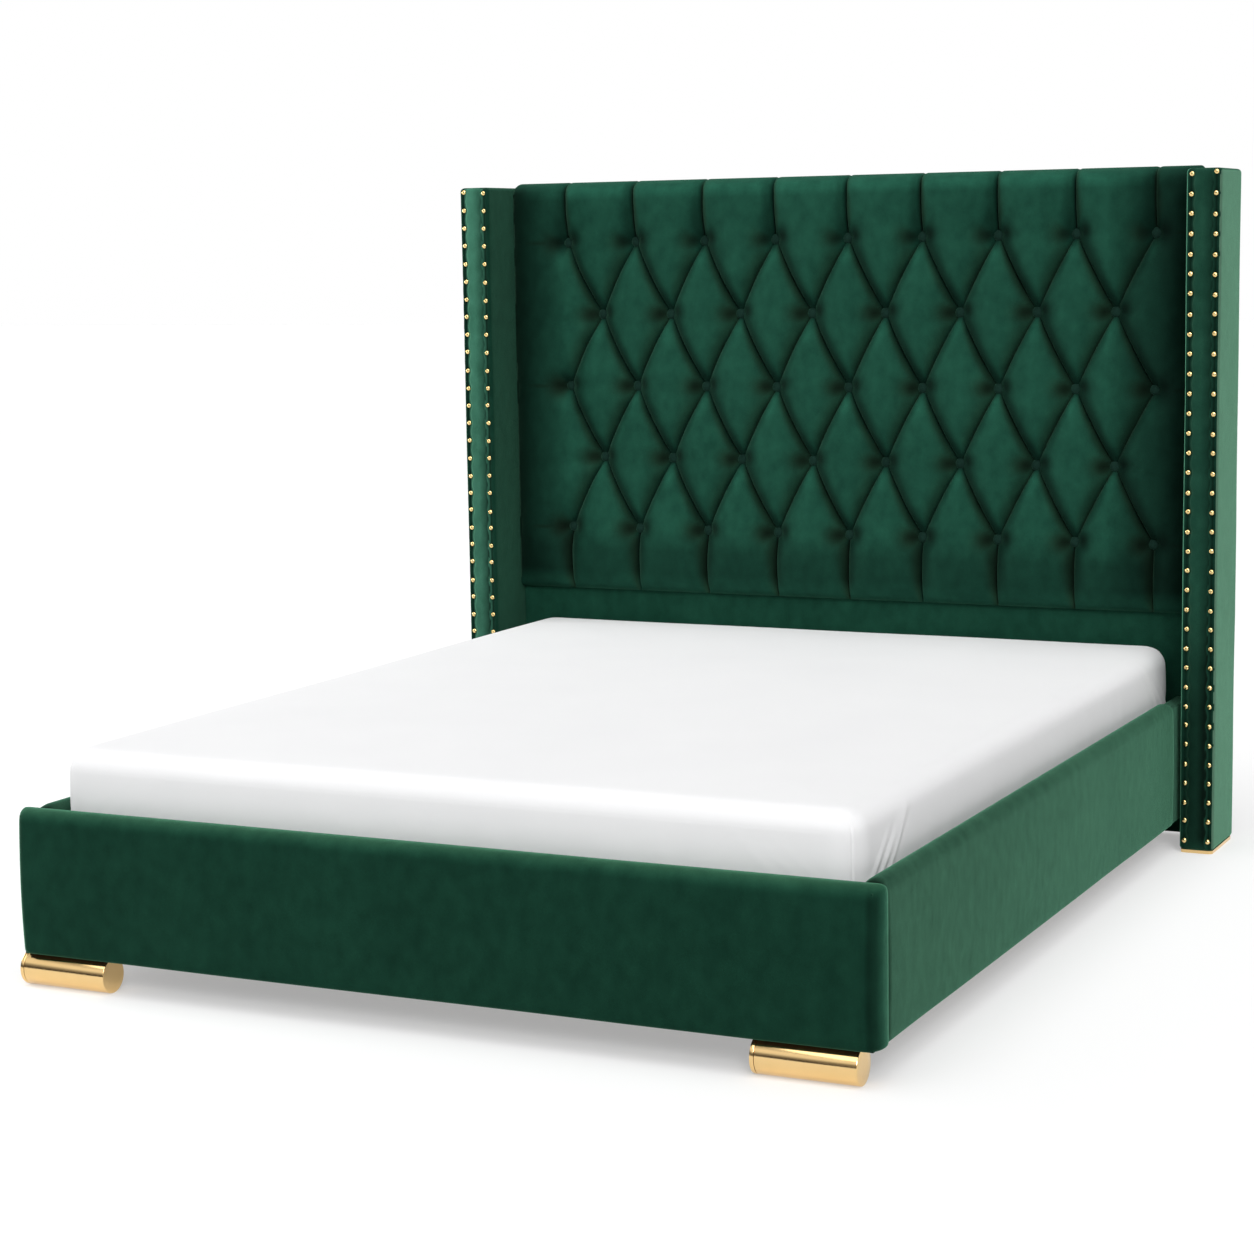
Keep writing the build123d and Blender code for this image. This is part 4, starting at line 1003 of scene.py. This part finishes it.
rail_crown, rail_bottom_round, rail_end_round = 0.003, 0.005, 0.022
lap_level, tuck_share, end_shade, start_reach = 0.237, 0.1, 1.7, 0.0004
tuck_steps = np.array((0.001, 0.02, 0.09, 0.164))
# A copy of the velvet painted lighter for the rails
rail_lit_velvet = velvet_cloth("green_velvet_rail_lit", (0.0072, 0.030, 0.0178, 1), (0.0235, 0.073, 0.044, 1))
for name, side in (("left", -1), ("right", 1)):
    rail_low, rail_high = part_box("side_rail_cover_" + name)
    core_low, core_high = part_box("side_rail_core_" + name)
    inner, outer = sorted((abs(rail_low.x), abs(rail_high.x)))
    core_inner, core_outer = sorted((abs(core_low.x), abs(core_high.x)))
    crest = (outer - inner) / 2
    rail_face, shoulder = outer - rail_crown, rail_high.z - crest
    outer_levels = np.linspace(rail_low.z + rail_bottom_round, shoulder, 30)[1:]
    inner_levels = np.linspace(shoulder, lap_level, 10)[1:]
    over = np.linspace(0, math.pi, 22)[1:]
    over_x = (inner + rail_face) / 2 + (rail_face - inner) / 2 * np.cos(over)
    outline = np.concatenate(
        [
            (rail_face, rail_low.z) + quarter_round(rail_bottom_round, 5) * (-1, 1),
            np.c_[rail_face + bulge(outer_levels, rail_low.z, shoulder, rail_crown), outer_levels],
            np.c_[over_x, shoulder + crest * np.sin(over)],
            np.c_[np.full(len(inner_levels), inner), inner_levels],
        ]
    )
    pocket_low = (core_inner - core_gap, rail_low.z)
    pocket_high = (core_outer + core_gap, core_high.z + core_gap)
    lining_line = np.clip(outline, pocket_low, pocket_high)
    start, stop = rail_low.y - start_reach, rail_high.y
    end_turn = quarter_round(rail_end_round, 9)[:, 1]
    straight = np.linspace(start + rail_end_round, stop - rail_end_round, 170)[1:-1]
    stations = np.concatenate([start + end_turn, straight, stop - end_turn[::-1], stop + tuck_steps])
    to_end = np.minimum(stations - start, stop - stations)
    fullness = tuck_share + (1 - tuck_share) * np.sqrt(1 - (1 - ramp(to_end, 0, rail_end_round)) ** 2)
    rail_loops = []
    for y, share in zip(stations, fullness):
        loop = np.r_[lining_line + (outline - lining_line) * share, lining_line[::-1]]
        rail_loops.append(np.c_[loop[:, 0] * side, np.full(len(loop), y), loop[:, 1]])
    rail_loops = np.array(rail_loops)
    padded_side = rail_loops[:, : len(outline)]
    lying_in = hollows(padded_side, 61 + side, 0.35, 0.0009, 0.002) * np.clip(fullness * 2 - 1, 0, 1)[:, None]
    padded_side[:, :, 0] -= side * lying_in * (outline[:, 0] > core_outer)
    rail_velvet = skin("side_rail_velvet_" + name, rail_loops, rail_lit_velvet)
    # Painted shade on the rounded ends and on the tuck that runs on between the wings
    paint_shade(rail_velvet, np.repeat(np.clip(end_shade * (1 - fullness), 0, 1), rail_loops.shape[1]))
    soft(rail_velvet, "bed_frame", "side_rail_cover_" + name)

# Steel fittings: folded zinc-plated brackets and hangers, with hexagon bolts and screws. They hold the
# rails to the wings and the footboard, the beam to both ends, and the wings to the posts.

zinc, zinc_tree = new_material("zinc_plate")
zinc_place = object_place(zinc_tree)
spangle = cells(zinc_tree, zinc_place, 130.0, "Color")
haze = noise(zinc_tree, zinc_place, 35.0, 4.0)
spangle_tone = blend(zinc_tree, spangle, (0.5, 0.51, 0.53, 1), (0.66, 0.67, 0.68, 1))
finish(zinc_tree, spangle_tone, stretch(zinc_tree, haze, 0.0, 1.0, 0.25, 0.5), metallic=1.0)
dress(zinc, *[f"corner_bracket_{end}_{name}" for end in ("head", "foot") for name in ("left", "right")])
dress(zinc, "beam_hanger_head", "beam_hanger_foot", "bracket_bolts", "ledge_screws", "hanger_screws")
dress(zinc, "foot_studs", "wing_bolts")

# Centre legs and levelling feet: black coated steel under the beam, standing on plastic feet that screw
# in and out of the leg. The slat holders are moulded from the same plastic.


def dark_finish(name, grain_size, dark, pale, strength, distance, roughness):
    """A dark finish with a fine grain in its colour and its surface."""
    material, tree = new_material(name)
    grain = noise(tree, object_place(tree), grain_size, 2.0)
    finish(tree, blend(tree, grain, dark, pale), roughness, relief(tree, strength, distance, grain))
    return material


coat = dark_finish("black_coat", 260.0, (0.008, 0.008, 0.009, 1), (0.02, 0.02, 0.021, 1), 0.3, 0.0004, 0.45)
plastic = dark_finish(
    "moulded_plastic", 700.0, (0.012, 0.012, 0.012, 1), (0.03, 0.03, 0.031, 1), 0.4, 0.0002, 0.55
)
dress(coat, "centre_leg_1", "centre_leg_2", "centre_leg_3")
dress(plastic, "levelling_foot_1", "levelling_foot_2", "levelling_foot_3")
dress(plastic, "slat_holders_left", "slat_holders_right", "slat_holders_centre")

# Slats: laminated birch strips, bent to a shallow spring and pushed into the holders at both ends. They
# lie in two rows, from the ledges to the centre beam.

birch = wood("birch_slat", (0, quarter, 0), (0.62, 0.46, 0.27, 1), (0.46, 0.31, 0.16, 1), 0.45, 0.8, 14.0)
dress(birch, "slats_left", "slats_right")

# Mattress: foam and springs in knitted ticking, with a soft crown and sides that swell a little. It lies
# loose on the slats, inside the rails.

ticking, ticking_tree = new_material("mattress_ticking")
knit = cells(ticking_tree, object_place(ticking_tree), 90.0, "Distance")
knit_tone = blend(ticking_tree, knit, (0.7, 0.69, 0.66, 1), (0.62, 0.61, 0.58, 1))
finish(ticking_tree, knit_tone, 0.9, relief(ticking_tree, 0.5, 0.003, knit))

bed_low, bed_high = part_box("mattress")
bed_crown, bed_bulge, bed_edge, bed_corner, least_corner = 0.009, 0.005, 0.042, 0.058, 0.004


def mattress_loops(grow, runs, arc_shares, side_rows, top_rows, hem=None):
    """Loops up the sides, over the edge and in over the top; with a hem there is no underside."""
    y_middle = (bed_low.y + bed_high.y) / 2
    half_x, half_y = bed_high.x + grow, (bed_high.y - bed_low.y) / 2 + grow
    bottom, top_edge, edge = bed_low.z - grow, bed_high.z + grow - bed_crown, bed_edge + grow
    places = []
    start = hem
    if hem is None:
        places.append([(bed_bulge + edge + (1 - share) * 0.5, bottom) for share in (0.25, 0.6, 0.9)])
        places.append((bed_bulge, bottom) + quarter_round(edge, 7)[:-1])
        start = bottom + edge
    levels = np.linspace(start, top_edge - edge, side_rows)
    places.append(np.c_[bed_bulge - bulge(levels, bottom, top_edge, bed_bulge), levels])
    places.append((places[-1][-1, 0], top_edge) + quarter_round(edge, 9)[1:, ::-1] * (1, -1))
    reach = places[-1][-1, 0]
    shares = between(top_rows)
    crown = bed_crown * (1 - (1 - shares) ** 2)
    places.append(np.c_[reach + (half_x - reach - least_corner) * shares, top_edge + crown])
    loops = []
    for inset, level in np.concatenate(places):
        plan_half = np.array((half_x - inset, half_y - inset))
        radius = max(bed_corner - inset, least_corner)
        corners = [((0.0, y_middle) + plan_half * ways, (-ways[0], -ways[1]), radius) for ways in corner_ways]
        loops.append(at_level(rounded_outline(corners, arc_shares, runs * 2), level))
    return np.array(loops)


mattress_skin = mattress_loops(0.0, (between(120), between(120)), np.linspace(0, 1, 13), 16, 30)
mattress = skin("mattress_core", mattress_skin, ticking)
soft(mattress, "mattress", "mattress")

# Fitted sheet: one piece of white cotton with sewn corners, pulled over the mattress. Its elastic hem
# gathers the cloth low on the sides, and small folds run up from it at the corners.

cotton, cotton_tree = new_material("white_cotton")
cotton_place = object_place(cotton_tree)
threads = [
    add_node(
        cotton_tree,
        "ShaderNodeTexWave",
        {"Vector": cotton_place, "Scale": 420.0, "Distortion": 1.0},
        bands_direction=direction,
    ).outputs["Fac"]
    for direction in ("X", "Y")
]
weave = combine(cotton_tree, "ADD", *threads)
crumple = noise(cotton_tree, cotton_place, 3.5, 4.0)
crumple_tone = blend(cotton_tree, crumple, (0.86, 0.86, 0.865, 1), (0.81, 0.81, 0.82, 1))
crumple_relief = relief(cotton_tree, 0.25, 0.006, crumple)
weave_relief = relief(cotton_tree, 0.15, 0.0003, weave, Normal=crumple_relief)
finish(cotton_tree, crumple_tone, 0.85, weave_relief, Sheen_Weight=0.15)

sheet_low, sheet_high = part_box("fitted_sheet")
sheet_gap, sheet_thickness, deepest_hollow = 0.0019, 0.0012, 0.0012
gather_count, gather_level, hem_lift = 7, 0.300, 0.001
fine_step, coarse_step, fine_reach = 0.005, 0.02, 0.3

# A sewn corner: a groove with a welt on either side, a pucker at its upper end and two ears above it
seam_drop, seam_run_in, seam_depth, seam_width = 0.030, 0.008, 0.0012, 0.0015
welt_rise, welt_offset, welt_width = 0.0011, 0.0034, 0.0019
pucker_depth, pucker_height, pucker_width = 0.0032, 0.006, 0.010
ear_rise, ear_lift, ear_height, ear_offset, ear_width = 0.0026, 0.010, 0.006, 0.008, 0.007
seam_top = sheet_high.z - seam_drop

# Folds that fan out from a sewn corner: the distance along the side and the height of their two ends,
# then their width and depth
corner_folds = (
    ((0.020, 0.300), (0.150, 0.402), 0.0085, 0.0030),
    ((0.045, 0.290), (0.205, 0.412), 0.0095, 0.0036),
    ((0.100, 0.295), (0.250, 0.440), 0.0105, 0.0042),
)


def closer_at_ends(length, fine, coarse, reach):
    """Shares along a side, closely spaced near both corners."""
    ends = np.arange(fine, reach, fine)
    inside = np.linspace(reach, length - reach, int((length - 2 * reach) / coarse))
    return np.concatenate([ends, inside, length - ends[::-1]]) / length


def fold_swell(from_seam, start, end, width, depth):
    """One soft fold between two places, given by distance along the side and height."""
    run, rise = end[0] - start[0], end[1] - start[1]
    length = math.hypot(run, rise)
    lengthwise = ((from_seam - start[0]) * run + (sheet_level - start[1]) * rise) / length
    sideways = ((from_seam - start[0]) * rise - (sheet_level - start[1]) * run) / length
    ends = ramp(lengthwise, 0, 0.02) * ramp(lengthwise, length, 0.45 * length)
    return depth * ends * (fade(sideways, width) - 0.45 * fade(sideways - 1.6 * width, width))


side_runs = tuple(closer_at_ends(length, fine_step, coarse_step, fine_reach) for length in (1.88, 1.48))
even_arc = np.linspace(-1, 1, 19)
seam_arc = (np.sign(even_arc) * np.abs(even_arc) ** 1.8 + 1) / 2
sheet_skin = mattress_loops(sheet_gap, side_runs, seam_arc, 30, 20, hem=sheet_low.z + hem_lift)

# Sewn corners, folds that fan out from them and small gathers above the elastic
outline = sheet_skin[0, :, :2]
steps = np.linalg.norm(np.roll(outline, -1, axis=0) - outline, axis=1)
along = np.concatenate([[0], np.cumsum(steps)[:-1]])
girth = steps.sum()
ahead = np.roll(outline, -1, axis=0) - np.roll(outline, 1, axis=0)
outward = np.c_[ahead[:, 1], -ahead[:, 0]] / np.linalg.norm(ahead, axis=1)[:, None]
sheet_level = sheet_skin[:, :, 2]
below_seam = ramp(sheet_level, seam_top, seam_top - seam_run_in)
swell = np.zeros(sheet_level.shape)
chance = np.random.default_rng(71)
corner_starts = np.cumsum([0] + [len(seam_arc) + len(run) for run in (side_runs * 2)[:3]])
for corner, corner_start in enumerate(corner_starts):
    seam = along[corner_start + (len(seam_arc) - 1) // 2]
    from_seam = ((along - seam + girth / 2) % girth - girth / 2)[None, :] + sheet_level * 0
    beside_seam = np.abs(from_seam)
    welts = welt_rise * fade(beside_seam - welt_offset, welt_width)
    swell += below_seam * (welts - seam_depth * fade(from_seam, seam_width))
    swell -= pucker_depth * fade(sheet_level - seam_top, pucker_height) * fade(from_seam, pucker_width)
    ears = ear_rise * fade(sheet_level - seam_top - ear_lift, ear_height)
    swell += ears * fade(beside_seam - ear_offset, ear_width)
    for way, strength in ((1, 1.0 if corner % 2 == 0 else 0.1), (-1, 0.1 if corner % 2 == 0 else 1.0)):
        for start, end, width, depth in corner_folds:
            near, far = (way * start[0], start[1]), (way * end[0], end[1])
            swell += fold_swell(from_seam, near, far, width, depth * strength)
        for _ in range(gather_count):
            place = chance.uniform(0.28, 0.95)
            swell += fold_swell(
                from_seam,
                (way * place, gather_level),
                (way * (place + chance.uniform(0.01, 0.06)), chance.uniform(0.365, 0.41)),
                chance.uniform(0.014, 0.024),
                chance.uniform(0.0008, 0.0018) * (0.4 + 0.6 * strength),
            )
swell *= np.clip((sheet_high.z - 0.004 - sheet_level) / 0.02, 0, 1)
sheet_skin[:, :, :2] += outward[None] * np.maximum(swell, -deepest_hollow)[:, :, None]
sheet_skin[:, :, 2] += ripple(sheet_skin, 73, 0.7, 0.0009) * (sheet_level > seam_top)
fitted_sheet = skin("fitted_sheet_cotton", sheet_skin, cotton, closed_start=False, smooth_angle=60.0)
thicken(fitted_sheet, sheet_thickness)
stand_for(fitted_sheet, "mattress", "fitted_sheet")

# Studio: a pale paper floor that runs out to a white room, soft lamps overhead, in front and at the left,
# and the camera at the photograph's angle.

floor_reach, floor_level, floor_glow = 40, -0.0004, 0.37
paper, paper_tree = new_material("studio_paper")
paper_tone = noise(paper_tree, object_place(paper_tree), 0.5, 2.0)
seen = add_node(paper_tree, "ShaderNodeLightPath").outputs
seen_most = combine(paper_tree, "MAXIMUM", seen["Is Camera Ray"], seen["Is Glossy Ray"])
seen_any = combine(paper_tree, "MAXIMUM", seen_most, seen["Is Transmission Ray"])
finish(
    paper_tree,
    blend(paper_tree, paper_tone, (0.63, 0.63, 0.63, 1), (0.61, 0.61, 0.61, 1)),
    0.95,
    Specular_IOR_Level=0.0,
    Emission_Color=(1, 1, 1, 1),
    Emission_Strength=combine(paper_tree, "MULTIPLY", seen_any, floor_glow),
)

floor = bpy.data.objects.new("studio_floor", bpy.data.meshes.new("studio_floor"))
floor_corners = [(x * floor_reach, y * floor_reach, 0) for x, y in ((-1, -1), (1, -1), (1, 1), (-1, 1))]
floor.data.from_pydata(floor_corners, [], [(0, 1, 2, 3)])
floor.data.materials.append(paper)
floor.location.z = floor_level
bpy.context.scene.collection.objects.link(floor)

world = bpy.data.worlds.new("studio_room")
bpy.context.scene.world = world
world.use_nodes = True
room = world.node_tree
room_place = add_node(room, "ShaderNodeTexCoord").outputs["Generated"]
room_up = add_node(room, "ShaderNodeSeparateXYZ", {0: room_place}).outputs["Z"]
room_wall = add_node(room, "ShaderNodeValToRGB", {0: room_up})
room_tones = room_wall.color_ramp.elements
for place, tone in ((0.12, 0.07), (0.28, 0.35), (0.42, 1.0), (0.58, 1.0), (0.78, 0.2)):
    room_tones.new(place).color = (tone, tone, tone, 1)
room_tones[0].color, room_tones[-1].color = (0.03, 0.03, 0.03, 1), (0.08, 0.08, 0.08, 1)
room_path = add_node(room, "ShaderNodeLightPath").outputs
room_mirror = combine(room, "MAXIMUM", room_path["Is Glossy Ray"], room_path["Is Transmission Ray"])
room_mix = {0: room_mirror, 2: 0.25, 3: room_wall.outputs[0]}
room_dim = add_node(room, "ShaderNodeMix", room_mix, data_type="FLOAT").outputs[0]
seen_mix = {0: room_path["Is Camera Ray"], 2: room_dim, 3: 1.0}
room_seen = add_node(room, "ShaderNodeMix", seen_mix, data_type="FLOAT").outputs[0]
set_inputs(room, room.nodes["Background"], {"Color": (1, 1, 1, 1), "Strength": room_seen})


def lamp(name, kind, place, aim, size, power):
    """A soft lamp aimed at a point: a far one, or a square one near the bed."""
    light = bpy.data.lights.new(name, kind)
    light.energy = power
    if kind == "AREA":
        light.size = size
    else:
        light.angle = size
    made = bpy.data.objects.new(name, light)
    bpy.context.scene.collection.objects.link(made)
    made.location = place
    made.rotation_euler = (Vector(aim) - Vector(place)).to_track_quat("-Z", "Y").to_euler()


lamp("overhead_lamp", "SUN", (0.6, -2.0, 6.0), (0, 0, 0), math.radians(70), 2.05)
lamp("front_lamp", "SUN", (3.2, -5.2, 3.4), (0, 0, 0), math.radians(18), 1.15)
lamp("left_lamp", "AREA", (-5.5, -0.3, 1.8), (-0.9, 0.9, 0.9), 2.0, 110)

focal_pixels, photo_pixels, sensor_width = 2739.4, 1254, 36.0
camera_place, yaw, pitch, roll = (2.3624, -5.0775, 1.3614), 0.4490, 0.1376, -0.0165
camera_data = bpy.data.cameras.new("camera")
camera = bpy.data.objects.new("camera", camera_data)
bpy.context.scene.collection.objects.link(camera)
camera_data.sensor_width = sensor_width
camera_data.lens = focal_pixels * sensor_width / photo_pixels
camera_data.clip_end = 200.0
camera.matrix_world = (
    Matrix.Translation(camera_place)
    @ Matrix.Rotation(yaw, 4, "Z")
    @ Matrix.Rotation(quarter - pitch, 4, "X")
    @ Matrix.Rotation(roll, 4, "Z")
)
bpy.context.scene.camera = camera
bpy.context.scene.view_settings.view_transform = "Standard"
